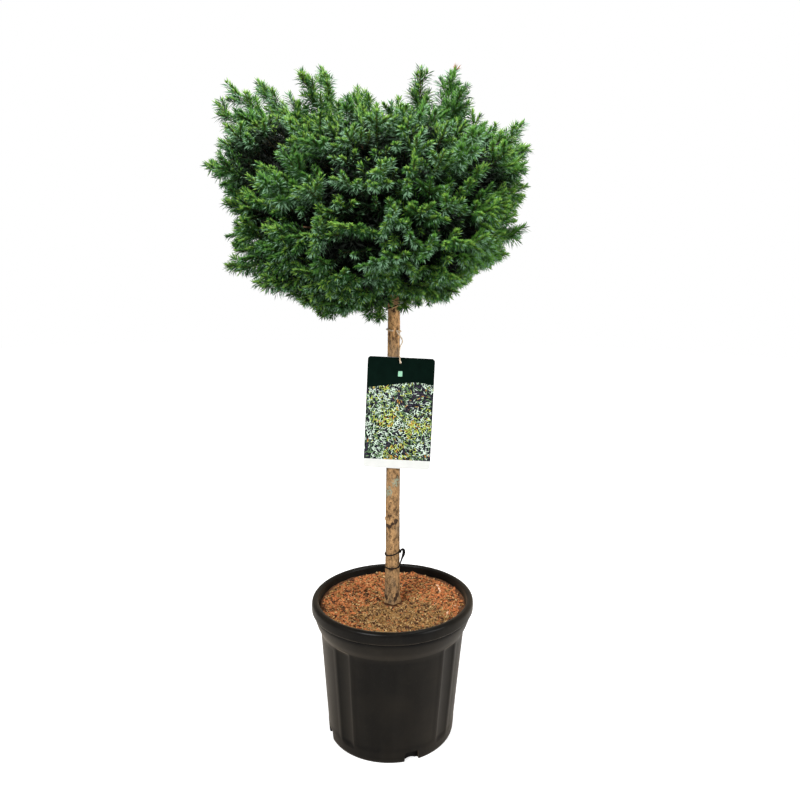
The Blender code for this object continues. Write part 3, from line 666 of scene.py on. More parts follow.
def card_material(name, colour, lift=1.25, roughness=0.32):
    """Printed plastic card with a faint mottle in its gloss."""
    mat, nodes, shader, coords = new_material(name, roughness, 0.05)
    tone = nodes.noise(coords, 60.0, 2.0)
    base = nodes.ramp(tone, ((0.35, colour), (0.65, tuple(min(1.0, c * lift) for c in colour))))
    nodes.link(base, shader.inputs["Base Color"])
    nodes.link(nodes.math("ADD", nodes.math("MULTIPLY", tone, 0.12), roughness - 0.06),
               shader.inputs["Roughness"])
    return mat


def build_materials():
    mats = {
        "plastic": plastic_material(grime_group()),
        "bark": bark_material("trunk_bark", *STEM_BARK, True),
        "limb": bark_material("limb_bark", *LIMB_BARK),
        "twig": bark_material("twig_bark", *TWIG_BARK),
        "string": chip_material("string", *STRING_TONES),
        "card_white": card_material("card_white", CARD_WHITE, 1.05),
        "tie": card_material("tie_black", TIE_BLACK, 1.4, 0.5),
    }
    for tone, colour in NEEDLE_TONES.items():
        mats[tone] = needle_material("needle_" + tone, colour, 0.7 if tone == "shade" else 0.45)
    for name, (dark, light) in MULCH_TONES.items():
        mats[name] = chip_material(name, dark, light)
    for name, colour in PRINT_TONES.items():
        mats[name] = card_material(name, colour)
    return mats


# ---------------------------------------------------------------- pot

def wall_radius(height):
    slope = (POT_NECK_RADIUS - POT_FOOT_RADIUS) / POT_NECK_HEIGHT
    return POT_FOOT_RADIUS + slope * height


def pot_rows():
    """The turned outline as (radius, height, how far a flute may sink it)."""
    foot_inner = POT_FOOT_RADIUS - 0.009
    inside = smooth_rows([
        (wall_radius(POT_FLOOR) - WALL, POT_FLOOR), (POT_NECK_RADIUS - WALL, POT_NECK_HEIGHT),
        (MOUTH_RADIUS - 0.0012, SOIL_HEIGHT - 0.004), (MOUTH_RADIUS, POT_HEIGHT - 0.0036),
    ], 5)
    lip = smooth_rows([
        (MOUTH_RADIUS, POT_HEIGHT - 0.0036), (MOUTH_RADIUS + 0.0012, POT_HEIGHT - 0.0012),
        (MOUTH_RADIUS + 0.0045, POT_HEIGHT), (RIM_RADIUS - 0.0015, POT_HEIGHT - 0.0003),
        (LIP_RADIUS - 0.0012, POT_HEIGHT - 0.0034), (LIP_RADIUS - 0.0001, POT_HEIGHT - 0.0090),
        (LIP_RADIUS - 0.0002, POT_HEIGHT - 0.0172), (LIP_RADIUS - 0.0012, POT_HEIGHT - 0.0201),
        (LIP_RADIUS - 0.0038, POT_HEIGHT - 0.0213),
    ], 4)
    neck = smooth_rows([
        (LIP_RADIUS - 0.0054, POT_HEIGHT - 0.0226), (0.1484, POT_HEIGHT - 0.0285),
        (0.1436, POT_HEIGHT - 0.0430), (0.1388, POT_HEIGHT - 0.0530), (0.1374, POT_NECK_HEIGHT + 0.003),
    ], 5)
    wall = [(wall_radius(h), h) for h in np.linspace(POT_NECK_HEIGHT, 0.004, 56)]
    under = [
        (POT_FOOT_RADIUS - 0.0002, 0.0018), (POT_FOOT_RADIUS - 0.0012, 0.0002),
        (POT_FOOT_RADIUS - 0.0020, 0.0), (foot_inner, 0.0),
        (foot_inner - 0.003, CHANNEL_HEIGHT), (PAD_RADIUS + 0.016, CHANNEL_HEIGHT), (PAD_RADIUS, 0.0),
    ]
    rows = [(r, z, 0.0) for r, z in inside + lip]
    rows += [(r, z, 1.0) for r, z in neck + wall]
    rows += [(r, z, 0.0) for r, z in under]
    return rows


def smooth_rows(points, per_span):
    path = smooth_path([(r, 0.0, z) for r, z in points], per_span * (len(points) - 1) + 1)
    return [(p[0], p[2]) for p in path]


def from_flute(azimuth):
    """Degrees from the middle of the nearest flute."""
    step = 360.0 / FLUTE_COUNT
    return (azimuth - FLUTE_AZIMUTH + step / 2) % step - step / 2


def flute_sink(azimuth, height):
    """Depth of the four soft grooves in the wall."""
    across = np.clip(1.0 - (from_flute(azimuth) / FLUTE_HALF_WIDTH) ** 2, 0.0, 1.0) ** 0.8
    from_end = np.minimum(height - FLUTE_LOW, FLUTE_HIGH - height)
    ends = np.clip(from_end / FLUTE_EASE, 0, 1)
    return FLUTE_DEPTH * across * ends * ends * (3 - 2 * ends)


def panel_step(azimuth, height):
    """The wall between the grooves sits a little deeper below a shallow arc."""
    inside = np.clip((np.abs(from_flute(azimuth)) - FLUTE_HALF_WIDTH - 2.0) / 2.5, 0, 1)
    band = np.clip((PANEL_HIGH - height) / 0.0025, 0, 1) * np.clip((height - PANEL_LOW) / 0.004, 0, 1)
    return PANEL_DEPTH * inside * band


def build_pot(mats):
    angle = angles_round(POT_SIDES)
    azimuths = np.degrees(angle)
    rings = []
    for radius, height, sink in pot_rows():
        r = radius - sink * (flute_sink(azimuths, height) + panel_step(azimuths, height))
        uneven = 0.00025 * np.sin(angle * 2 + 1.0) + 0.00012 * np.sin(angle * 5 + height * 30)
        rings.append(ring_at(r + uneven, angle, height))
    ends = ((0, 0, POT_FLOOR + 0.0005), (0, 0, 0))
    draft = link_object("pot_shell_draft", ring_mesh("pot_shell", rings, ends, True))
    notches = new_collection("notches")
    for k in range(NOTCH_COUNT):
        notch_cutter(NOTCH_AZIMUTH + k * 360.0 / NOTCH_COUNT, notches)
    cut = draft.modifiers.new("notches", "BOOLEAN")
    cut.operation, cut.solver = "DIFFERENCE", "EXACT"
    cut.operand_type, cut.collection = "COLLECTION", notches
    mesh = evaluated_mesh(draft)
    drop_collection(notches)
    mesh.shade_smooth()
    mesh.set_sharp_from_angle(angle=math.radians(38))
    piece("pot_shell", mesh, mats["plastic"], ["pot"])


def notch_cutter(azimuth, collection):
    bm = bmesh.new()
    bmesh.ops.create_cube(bm, size=1.0)
    for vert in bm.verts:
        widen = 1.10 if vert.co.z < 0 else 0.94
        x, y, z = vert.co
        vert.co = (x * NOTCH_WIDTH * widen, y * NOTCH_DEPTH, z * 2 * NOTCH_HEIGHT)
    bmesh.ops.bevel(bm, geom=list(bm.edges), offset=NOTCH_ROUND, segments=2, affect="EDGES")
    place = Matrix.Translation(Vector(direction(azimuth, 0.0)) * (POT_FOOT_RADIUS + 0.002))
    bmesh.ops.transform(bm, matrix=place @ Matrix.Rotation(math.radians(azimuth), 4, "Z"), verts=bm.verts)
    link_object("notch", finished_mesh(bm, "notch"), collection)


# ---------------------------------------------------------------- mulch

def mulch_height(x, y):
    """The bed rises to the wall and dips a little round the trunk."""
    r = np.sqrt(x * x + y * y)
    rise = 0.0016 * (r / SOIL_RADIUS) ** 2 - 0.0022 * np.exp(-((r - 0.018) / 0.012) ** 2)
    lumps = 0.0009 * (np.sin(x * 95 + 1.3) * np.cos(y * 80 + 0.4) + 0.7 * np.sin((x + y) * 160))
    return SOIL_HEIGHT - 0.0030 + rise + lumps


def build_mulch_bed(mats):
    """The dark bed under the shreds, down to the pot's floor."""
    angle = angles_round(96)
    rings = [ring_at(r, angle, 0.0) for r in SOIL_RADIUS * np.linspace(0.02, 1.0, 40)]
    for ring in rings:
        ring[:, 2] = mulch_height(ring[:, 0], ring[:, 1])
    rings += [ring_at(wall_radius(h) - WALL - 0.0006, angle, h) for h in (POT_NECK_HEIGHT, BED_LOW)]
    ends = ((0, 0, mulch_height(0.0, 0.0)), (0, 0, BED_LOW))
    mesh = ring_mesh("mulch_bed", rings, ends)
    piece("mulch_bed", mesh, mats["mulch_bed"], ["soil"], smooth=True)


def chip_mesh(name, length, width, thick, bends, rng):
    """One shred: a bent, tapering, splintered strip."""
    bm = bmesh.new()
    bmesh.ops.create_cube(bm, size=1.0)
    lengthways = [e for e in bm.edges if abs((e.verts[0].co - e.verts[1].co).x) > 0.5]
    bmesh.ops.subdivide_edges(bm, edges=lengthways, cuts=2)
    for vert in bm.verts:
        along = vert.co.x * 2.0
        taper = 1.0 - 0.62 * abs(along) ** 1.5
        vert.co = Vector((
            vert.co.x * length + rng.uniform(-0.06, 0.06) * length,
            vert.co.y * width * taper * rng.uniform(0.7, 1.2) + bends * width * along * along,
            vert.co.z * thick * taper * rng.uniform(0.7, 1.3) + bends * thick * along))
    bmesh.ops.triangulate(bm, faces=bm.faces)
    bmesh.ops.recalc_face_normals(bm, faces=bm.faces)
    return finished_mesh(bm, name)


def random_between(n, low, high, seed, kind="FLOAT"):
    """A random number or vector for each point."""
    first = 0 if kind == "FLOAT_VECTOR" else 2
    inputs = {first: low, first + 1: high, "Seed": seed}
    return n.add("FunctionNodeRandomValue", inputs, data_type=kind).outputs[first // 2]


def combined(n, x, y, z):
    return n.add("ShaderNodeCombineXYZ", {0: x, 1: y, 2: z}).outputs[0]


def scatter_tree():
    """Geometry Nodes: shreds from a collection strewn over a surface, made real."""
    tree = bpy.data.node_groups.new("strewn_shreds", "GeometryNodeTree")
    tree.interface.new_socket("Geometry", in_out="INPUT", socket_type="NodeSocketGeometry")
    sockets = {}
    for name, kind in (("Shreds", "Collection"), ("Density", "Float"), ("Smallest", "Float"),
                       ("Largest", "Float"), ("Tilt", "Float"), ("Sink", "Float"), ("Seed", "Int"),
                       ("Material", "Material")):
        socket = tree.interface.new_socket(name, in_out="INPUT", socket_type="NodeSocket" + kind)
        sockets[name] = socket.identifier
    tree.interface.new_socket("Geometry", in_out="OUTPUT", socket_type="NodeSocketGeometry")
    n = Nodes(tree)
    given, out = n.add("NodeGroupInput").outputs, n.add("NodeGroupOutput")
    points = n.add("GeometryNodeDistributePointsOnFaces",
                   {"Mesh": given["Geometry"], "Density": given["Density"], "Seed": given["Seed"]},
                   distribute_method="RANDOM")
    shreds = n.add("GeometryNodeCollectionInfo",
                   {"Collection": given["Shreds"], "Separate Children": True, "Reset Children": True})
    tilt, sink = given["Tilt"], given["Sink"]
    back = n.math("MULTIPLY", tilt, -1.0)
    turn = random_between(n, combined(n, back, back, 0.0), combined(n, tilt, tilt, 2 * math.pi),
                          given["Seed"], "FLOAT_VECTOR")
    size = random_between(n, given["Smallest"], given["Largest"], given["Seed"])
    place = n.add("GeometryNodeInstanceOnPoints",
                  {"Points": points.outputs["Points"], "Instance": shreds.outputs[0],
                   "Pick Instance": True, "Rotation": turn, "Scale": size})
    drop = random_between(n, n.math("MULTIPLY", sink, -1.0), sink, n.math("ADD", given["Seed"], 5.0))
    move = n.add("GeometryNodeTranslateInstances",
                 {"Instances": place.outputs[0], "Translation": combined(n, 0.0, 0.0, drop),
                  "Local Space": False})
    real = n.add("GeometryNodeRealizeInstances", {0: move.outputs[0]})
    paint = n.add("GeometryNodeSetMaterial",
                  {"Geometry": real.outputs[0], "Material": given["Material"]})
    n.link(paint.outputs[0], out.inputs[0])
    return tree, sockets


def strew_surface(name, keep):
    """The patch of the bed that one kind of shred falls on."""
    bm = bmesh.new()
    count = int(SOIL_RADIUS / STREW_STEP) + 1
    grid = {}
    for i in range(-count, count + 1):
        for j in range(-count, count + 1):
            x, y = i * STREW_STEP, j * STREW_STEP
            height = float(mulch_height(np.float64(x), np.float64(y)))
            grid[i, j] = bm.verts.new((x, y, height + STREW_LIFT))
    for i in range(-count, count):
        for j in range(-count, count):
            x, y = (i + 0.5) * STREW_STEP, (j + 0.5) * STREW_STEP
            if STREW_NEAR < math.hypot(x, y) < SOIL_RADIUS - STREW_MARGIN and keep(x, y):
                bm.faces.new((grid[i, j], grid[i + 1, j], grid[i + 1, j + 1], grid[i, j + 1]))
    bmesh.ops.delete(bm, geom=[v for v in bm.verts if not v.link_faces], context="VERTS")
    return link_object(name, finished_mesh(bm, name))


def in_front(x, y):
    """The greyer, finer patch before the trunk, ragged at its edge."""
    ragged = math.sin(310 * x + 40 * y) * math.cos(270 * y - 55 * x)
    return math.hypot((x - 0.020) * 0.9, (y + 0.060) * 0.95) < 0.078 + 0.020 * ragged


STREWN = {                           # where each kind of shred falls
    "front": in_front,
    "around": lambda x, y: not in_front(x, y),
    "right": lambda x, y: x > 0.03 and not in_front(x, y),
    "everywhere": lambda *_: True,
}


def build_shreds(mats):
    rng = random.Random(SEED)
    kinds = {"shreds": new_collection("coarse_shreds"), "crumbs": new_collection("fine_shreds")}
    for k in range(SHRED_SHAPES):
        for kind, (length, width, thick, bend) in SHRED_SIZES.items():
            name = "%s_%d" % (kind, k)
            mesh = chip_mesh(name, rng.uniform(*length), rng.uniform(*width), rng.uniform(*thick),
                             rng.uniform(-bend, bend), rng)
            link_object(name, mesh, kinds[kind])
    tree, sockets = scatter_tree()
    for number, (name, density, low, high, tilt, tone, where) in enumerate(SHRED_LAYERS):
        ground = strew_surface(name + "_ground", STREWN[where])
        strew = ground.modifiers.new("strew", "NODES")
        strew.node_group = tree
        for key, value in (("Shreds", kinds[name.split("_")[0]]), ("Density", float(density)),
                           ("Smallest", low), ("Largest", high), ("Tilt", tilt), ("Sink", SHRED_SINK),
                           ("Seed", SEED + number), ("Material", mats[tone])):
            strew[sockets[key]] = value
        piece(name, evaluated_mesh(ground), mats[tone])
    for collection in kinds.values():
        drop_collection(collection)


# ---------------------------------------------------------------- trunk and boughs

def trunk_axis(height):
    leaning = min(height, GRAFT_HEIGHT) - TRUNK_FOOT
    return np.array((TRUNK_X + TRUNK_LEAN * leaning, 0.0, height))


def trunk_radius(height):
    if height > GRAFT_HEIGHT:
        share = (height - GRAFT_HEIGHT) / (TRUNK_TOP - GRAFT_HEIGHT)
        return TRUNK_RADIUS_GRAFT + (TRUNK_RADIUS_TOP - TRUNK_RADIUS_GRAFT) * share
    share = (height - TRUNK_FOOT) / (GRAFT_HEIGHT - TRUNK_FOOT)
    flare = FLARE * math.exp(-(height - TRUNK_FOOT) / FLARE_HEIGHT)
    return TRUNK_RADIUS_FOOT + (TRUNK_RADIUS_GRAFT - TRUNK_RADIUS_FOOT) * share + flare


def relief(a, h):
    """Bark relief round (a) and up (h) the stem: low swellings, scale edges and fine ridges."""
    swell = 0.00035 * np.sin(2 * a + 21 * h + 0.6) + 0.00025 * np.sin(3 * a - 47 * h + 1.2)
    scale = 0.00022 * np.sin(9 * a + 60 * np.sin(31 * h + 0.6)) * np.sin(260 * h + 3 * np.sin(4 * a + 0.6))
    ridge = 0.00014 * np.sin(23 * a + 9 * np.sin(70 * h)) * np.cos(410 * h + 2 * a)
    return swell + scale + ridge


def knots(angle, height):
    """Each knot is a swelling with a small hollow in its middle."""
    out = np.zeros_like(angle)
    for round_at, high_at, size, wide, tall in KNOTS:
        away = (angle - round_at + np.pi) % (2 * np.pi) - np.pi
        q = (away / wide) ** 2 + ((height - high_at) / tall) ** 2
        out += size * np.exp(-q) - 0.45 * size * np.exp(-q * 7.0)
    return out


def build_trunk(mats):
    heights = np.concatenate((np.linspace(TRUNK_FOOT, 0.86, 620), np.linspace(0.862, TRUNK_TOP, 40)))
    angle = angles_round(72)
    rings = []
    for h in heights:
        r = trunk_radius(h) + relief(angle, h) + knots(angle, h) - 0.0002
        foot = math.exp(-(h - TRUNK_FOOT) / 0.012)
        r = r + 0.0010 * foot * np.sin(5 * angle + 0.7) + 0.0006 * foot * np.sin(3 * angle)
        rings.append(ring_at(r, angle, h, trunk_axis(h)))
    mesh = ring_mesh("trunk_bark", rings, (trunk_axis(TRUNK_FOOT), trunk_axis(TRUNK_TOP)), True)
    piece("trunk_bark", mesh, mats["bark"], ["trunk"], smooth=True)


MASS_DIRECTIONS = np.array([direction(az, el) for _, az, el, _ in MASSES])
ANCHOR_DIRECTIONS = np.array([direction(az, el) for *_, az, el, _ in MASSES + HOLLOWS])
ANCHOR_REACH = np.array([row[-1] for row in MASSES + HOLLOWS])
LEADER_DIRECTIONS = np.array([direction(az, el) for az, el, _ in LEADERS])
LEADER_REACH = np.array([row[-1] for row in LEADERS])


def general_reach(units):
    """The head's reach from its heart, blended from the masses, for unit vectors (n, 3)."""
    weights = np.exp(BLEND * (units @ ANCHOR_DIRECTIONS.T - 1.0))
    blend = weights @ ANCHOR_REACH / weights.sum(-1)
    return blend * (1.0 - SKIRT * np.maximum(0.0, -0.5 - units[..., 2]))


def full_reach(units):
    """The general reach with the long shoots standing out of it."""
    base = general_reach(units)
    extra = LEADER_REACH - general_reach(LEADER_DIRECTIONS)
    lift = np.exp(LEADER_NARROW * (units @ LEADER_DIRECTIONS.T - 1.0)) * extra
    return base + lift.max(-1).clip(0.0)


def bough_path(index, samples=40):
    """From the trunk to the mass's tip: it leaves level, then turns to its mass."""
    _, _, elevation, reach = MASSES[index]
    own = MASS_DIRECTIONS[index]
    stagger = ATTACH_STAGGER * (1 if index % 2 else -1)
    height = HEART[2] + ATTACH_RISE * math.sin(math.radians(elevation)) + stagger
    tip = HEART + own * reach
    start = trunk_axis(height)
    level = unit(np.array((tip[0] - start[0], tip[1] - start[1], 0.0)))
    start = start + level * trunk_radius(height) * 0.5
    collar = start + level * 0.012
    bend = HEART + unit(own * 0.85 + level * 0.15) * reach * 0.30
    t = np.linspace(0, 1, samples)[:, None]
    path = collar * (1 - t) ** 2 + bend * 2 * t * (1 - t) + tip * t * t
    return np.vstack((start, path))


def build_boughs(mats):
    """Each bough runs on as the stem of its mass."""
    parts = []
    steps = np.arange(BOUGH_POINTS)
    share = np.linspace(0, 1, BOUGH_POINTS)[:, None]
    for index, (name, _, _, reach) in enumerate(MASSES):
        path = bough_path(index)
        if name == "top_middle":
            tip = HEART + MASS_DIRECTIONS[index] * reach * 0.8
            path = np.linspace(trunk_axis(TRUNK_TOP - 0.01), tip, 41)
        path = path[np.linalg.norm(path - HEART, axis=1) < 0.80 * reach + 0.001]
        path = path[np.linspace(0, len(path) - 1, BOUGH_POINTS).round().astype(int)]
        wiggle = np.sin(steps[:, None] * 0.9 + index) * 0.0010
        path = path + wiggle * np.array((1.0, 0.7, 0.5)) * share
        radii = np.linspace(BOUGH_RADIUS_FOOT * 1.1, STEM_RADIUS_TIP * 0.7, BOUGH_POINTS)
        radii[:3] *= (1.45, 1.2, 1.08)
        radii = radii * (1 + 0.08 * np.sin(steps * 2.1 + index))
        parts.append(tube_arrays(path[None], radii[None], 10))
    mesh = array_mesh("bough_bark", *join_arrays(parts))
    piece("bough_bark", mesh, mats["limb"], BOUGH_NODES, smooth=True)


# ---------------------------------------------------------------- sprays of shoots

def spray_directions(count):
    """Directions spread evenly over the head, by the golden angle."""
    i = np.arange(count)
    z = 1.0 - (i + 0.5) / count * (1.0 - math.sin(math.radians(SPRAY_LOWEST)))
    flat = np.sqrt(1.0 - z * z)
    return np.stack((np.cos(i * GOLDEN_ANGLE) * flat, np.sin(i * GOLDEN_ANGLE) * flat, z), -1)


def plan_sprays():
    """Every spray of the outer layer as (direction, reach, is it a long shoot)."""
    rng = random.Random(SEED)
    rows = [(d, r, True) for d, r in zip(LEADER_DIRECTIONS, LEADER_REACH)]
    tips = [d * r for d, r, _ in rows]
    directions = spray_directions(SPRAY_COUNT)
    for way, reach in zip(directions, general_reach(directions)):
        if min(np.linalg.norm(way * reach - tip) for tip in tips) > TIP_SPACING:
            tips.append(way * reach)
            rows.append((way, reach * rng.uniform(0.95, 1.02), False))
    return rows


def plan_fine_sprays(rows):
    """Smaller sprays in the gaps between the main ones, a little behind them."""
    rng = random.Random(SEED + 1)
    tips = [way * reach for way, reach, _ in rows]
    fine = []
    directions = spray_directions(FINE_COUNT)
    for way, reach in zip(directions, general_reach(directions)):
        if np.linalg.norm(np.array(tips) - way * reach, axis=1).min() > FINE_SPACING:
            tips.append(way * reach)
            fine.append((way, reach * rng.uniform(*FINE_REACH), False))
    return fine


def plan_inner_sprays():
    """Shorter sprays in the shade under the outer ones."""
    directions = spray_directions(INNER_COUNT)
    return [(way, reach - INNER_DEPTH, False) for way, reach in zip(directions, general_reach(directions))]


def tangent_pair(axis, roll=0.0):
    """A level vector across an axis and the one above it, turned by a roll."""
    helper = np.array((0.0, 0.0, 1.0)) if abs(axis[2]) < 0.93 else np.array((0.35, 0.94, 0.0))
    across = unit(np.cross(axis, helper))
    above = np.cross(across, axis)
    return (across * math.cos(roll) + above * math.sin(roll),
            above * math.cos(roll) - across * math.sin(roll))


def along_path(path, place):
    """The point and direction at a share of a path."""
    at = np.clip(place, 0.0, 0.9999) * (len(path) - 1)
    i = int(at)
    return path[i] + (path[i + 1] - path[i]) * (at - i), unit(path[i + 1] - path[i])


def within_reach(path, under):
    """Shorten a shoot that would end less than a depth under the head's surface."""
    offset = path[-1] - HEART
    far = np.linalg.norm(offset)
    limit = full_reach(offset[None] / far)[0] - under
    if far <= limit:
        return path
    keep = max(0.30, 1.0 - 1.2 * (far - limit) / np.linalg.norm(path[-1] - path[0]))
    return path[0] + (path - path[0]) * keep


def grow_spray(row, rng, root_share, sizes, under):
    """A leading shoot and its side shoots, in a fan that lies about level: a list of paths."""
    way, reach, leader = row
    own = MASS_DIRECTIONS[np.argmax(MASS_DIRECTIONS @ way)]
    root = HEART + unit(way * 0.72 + own * 0.28) * reach * root_share
    tip = HEART + way * (reach - NEEDLE_OVERHANG)
    t = np.linspace(0, 1, PATH_POINTS)[:, None]
    sag = np.array((0.0, 0.0, rng.uniform(-0.016, 0.002))) + rng.normal(0, 0.003, 3)
    main = root * (1 - t) + tip * t + sag * 4 * t * (1 - t)
    shoots = [main]
    length = np.linalg.norm(tip - root)
    roll = rng.normal(0, math.radians(FAN_ROLL))
    for pair, (back, size) in enumerate(sizes):
        turn = roll + (pair % 2) * math.pi / 2 if leader else roll
        for side in (-1, 1):
            place = 1.0 - (back + rng.uniform(-SHOOT_JITTER, SHOOT_JITTER)) / length
            if place < 0.04 or rng.random() < SHOOT_MISSING:
                continue
            start, axis = along_path(main, place)
            across, above = tangent_pair(axis, turn + rng.normal(0, 0.22))
            lean = math.radians(rng.uniform(*SHOOT_LEAN) - LEADER_CLOSE * leader)
            go = axis * math.cos(lean) + across * side * math.sin(lean) + above * rng.normal(0.05, 0.12)
            grown = size * rng.uniform(0.82, 1.14)
            shoot = start + unit(go) * grown * t + axis * grown * 0.20 * t * t
            shoots.append(within_reach(shoot, under))
    if rng.random() < UPPER_SHOOT_CHANCE and not leader:
        start, axis = along_path(main, 1.0 - rng.uniform(0.030, 0.060) / length)
        _, above = tangent_pair(axis, roll)
        go = unit(axis * 0.72 + above * rng.choice((0.62, 0.62, -0.62)))
        shoots.append(within_reach(start + go * rng.uniform(0.026, 0.040) * t, under))
    return shoots


def grow_head():
    """All the shoots: paths (n, points, 3), spray numbers, ranks and layers."""
    rng = np.random.default_rng(SEED)
    paths, sprays, ranks, layers = [], [], [], []
    outer = plan_sprays()
    over, clear = NEEDLE_OVERHANG, INNER_CLEAR
    plans = [(row, 0, SPRAY_ROOT, LEADER_SHOOTS if row[2] else SIDE_SHOOTS, over) for row in outer]
    plans += [(row, 0, FINE_ROOT, FINE_SHOOTS, over) for row in plan_fine_sprays(outer)]
    plans += [(row, 1, INNER_ROOT, INNER_SHOOTS, clear) for row in plan_inner_sprays()]
    for number, (row, layer, root_share, sizes, under) in enumerate(plans):
        for rank, path in enumerate(grow_spray(row, rng, root_share, sizes, under)):
            paths.append(path)
            sprays.append(number)
            ranks.append(min(rank, 1))
            layers.append(layer)
    return np.array(paths), np.array(sprays), np.array(ranks), np.array(layers)


def build_twigs(head, mats):
    paths, _, ranks, _ = head
    radius = np.where(ranks == 0, TWIG_RADIUS, SIDE_TWIG_RADIUS)[:, None]
    taper = np.linspace(1.0, 0.5, PATH_POINTS)[None]
    mesh = array_mesh("twigs", *tube_arrays(paths, radius * taper, 3))
    piece("twigs", mesh, mats["twig"])


def depth_under(points):
    """How deep points lie under the head's general surface."""
    offset = points - HEART
    far = np.linalg.norm(offset, axis=1)
    return general_reach(offset / far[:, None]) - far


def needle_sites(head, rng):
    """Every needle's foot: place, shoot direction, share along its shoot, spray and layer."""
    columns = [[] for _ in range(5)]
    for path, spray, rank, layer in zip(*head):
        length = np.linalg.norm(np.diff(path, axis=0), axis=1).sum()
        bare = length * 0.12 if rank == 0 else 0.003
        count = int((length - bare) * NEEDLES_PER_METRE[layer])
        share = (bare + (length - bare) * (np.arange(count) + rng.random(count)) / count) / length
        at = share * (PATH_POINTS - 1)
        i = np.minimum(at.astype(int), PATH_POINTS - 2)
        step = path[i + 1] - path[i]
        made = (path[i] + step * (at - i)[:, None], unit(step), share,
                np.full(count, spray), np.full(count, layer))
        for column, values in zip(columns, made):
            column.append(values)
    sites = [np.concatenate(column) for column in columns]
    depth = depth_under(sites[0])
    chance = np.clip((THIN_TO - depth) / (THIN_TO - THIN_FROM), THIN_KEEP, 1.0)
    kept = rng.random(len(depth)) < np.where(sites[4] == 0, chance, 1.0)
    return [site[kept] for site in sites]


def lay_needles(bases, axes, shares, layers, long_shoots, rng):
    """Point the needles forward on top of a shoot and outward below it; they close at its tip."""
    n = len(bases)
    turn = np.arange(n) * GOLDEN_ANGLE + rng.normal(0, 0.15, n)
    turn = turn - TOP_CROWDING * np.sin(turn)
    outward = unit(bases - HEART)
    helper = unit(np.array((0.0, 0.0, 1.0)) + outward * 0.25)
    above = unit(helper - axes * (helper * axes).sum(-1, keepdims=True))
    across = np.cross(axes, above)
    radial = above * np.cos(turn)[:, None] + across * np.sin(turn)[:, None]
    under = 0.5 - 0.5 * np.cos(turn)
    close = np.clip((shares - 0.80) / 0.20, 0, 1)
    wide = np.where(long_shoots, LEADER_SPREAD, 0.0)
    spread = np.radians((35 + wide + 31 * under) * (1 - 0.38 * close) + rng.normal(0, 5, n))
    way = unit(axes * np.cos(spread)[:, None] + radial * np.sin(spread)[:, None])
    length = NEEDLE_LENGTH * (0.88 + 0.20 * under) * (1 - 0.15 * close) * rng.uniform(0.88, 1.10, n)
    scale = np.where(long_shoots, LEADER_NEEDLE_SCALE, 1.0)
    length = length * np.where(layers == 1, INNER_NEEDLE_SCALE, scale)
    flat = unit(np.cross(way, axes) + rng.normal(0, 0.30, (n, 3)))
    flat = unit(flat - way * (flat * way).sum(-1, keepdims=True))
    return way, length, flat, under


def needle_mesh_arrays(bases, way, length, flat, width):
    """Closed blades of four triangles: a ridge from foot to point over two side corners."""
    keel = np.cross(way, flat)
    half = (width / 2)[:, None]
    reach = length[:, None]
    middle = bases + way * reach * 0.56 - keel * half * 0.55
    verts = np.stack((bases, middle + flat * half, middle - flat * half, bases + way * reach), 1)
    start = (np.arange(len(bases)) * 4)[:, None]
    pattern = np.array(((0, 3, 1), (0, 2, 3), (0, 1, 2), (3, 2, 1)))
    tris = (start[:, :, None] + pattern[None]).reshape(-1, 3)
    return verts.reshape(-1, 3), tris


def deal_tones(bases, shares, sprays, layers, under, rng):
    """Give every needle one of the plain needle tones, by its spray, its side and its depth; the deep and
    shade tones under the head's surface are painted shade, and the extra fresh needles on the lit side are
    painted light.
    """
    count = sprays.max() + 1
    units = unit(bases - HEART)
    depth = depth_under(bases)
    chance = rng.random(len(bases))
    family = rng.random(count)[sprays]
    light = rng.random(count)[sprays]
    front = np.clip(units @ direction(8, 28), 0, 1) ** 3
    back = np.clip(units @ direction(188, 28), 0, 1) ** 3
    # painted light: more needles on the lit right side are dealt the light fresh tone, and fewer the blue
    # one
    lit_side = np.clip(units @ direction(*LIT_SIDE), 0, 1) ** 2
    glaucous = family < (0.22 + 0.50 * np.maximum(front, back)) * (1.0 - 0.6 * lit_side)
    side = under + rng.normal(0, 0.12, len(bases))
    out = np.full(len(bases), "green", dtype="<U6")
    out[(side < 0.46) & (chance < 0.75)] = "fresh"
    out[(side < 0.30) & (shares > 0.40) & (chance < 0.45) & (light > 0.30)] = "tip"
    out[(shares > 0.86) & (chance < 0.45) & (light > 0.30)] = "tip"
    out[(side > 0.50) & glaucous & (chance < 0.55)] = "blue"
    out[(side > 0.62) & ~glaucous & (chance < 0.22)] = "blue"
    out[chance > 1.0 - LIT_SIDE_FRESH * lit_side] = "fresh"
    # painted shade: needles deep under the head's surface, and all of the inner sprays, take the near-black
    # deep and shade tones
    depth = depth + 0.022 * (chance - 0.5)
    out[depth > DEEP_UNDER] = "deep"
    out[(depth > SHADE_UNDER) | (layers == 1)] = "shade"
    withered = HEART + LEADER_DIRECTIONS[DRY_TIP] * LEADER_REACH[DRY_TIP]
    out[np.linalg.norm(bases - withered, axis=1) < DRY_LENGTH + NEEDLE_OVERHANG] = "dry"
    return out


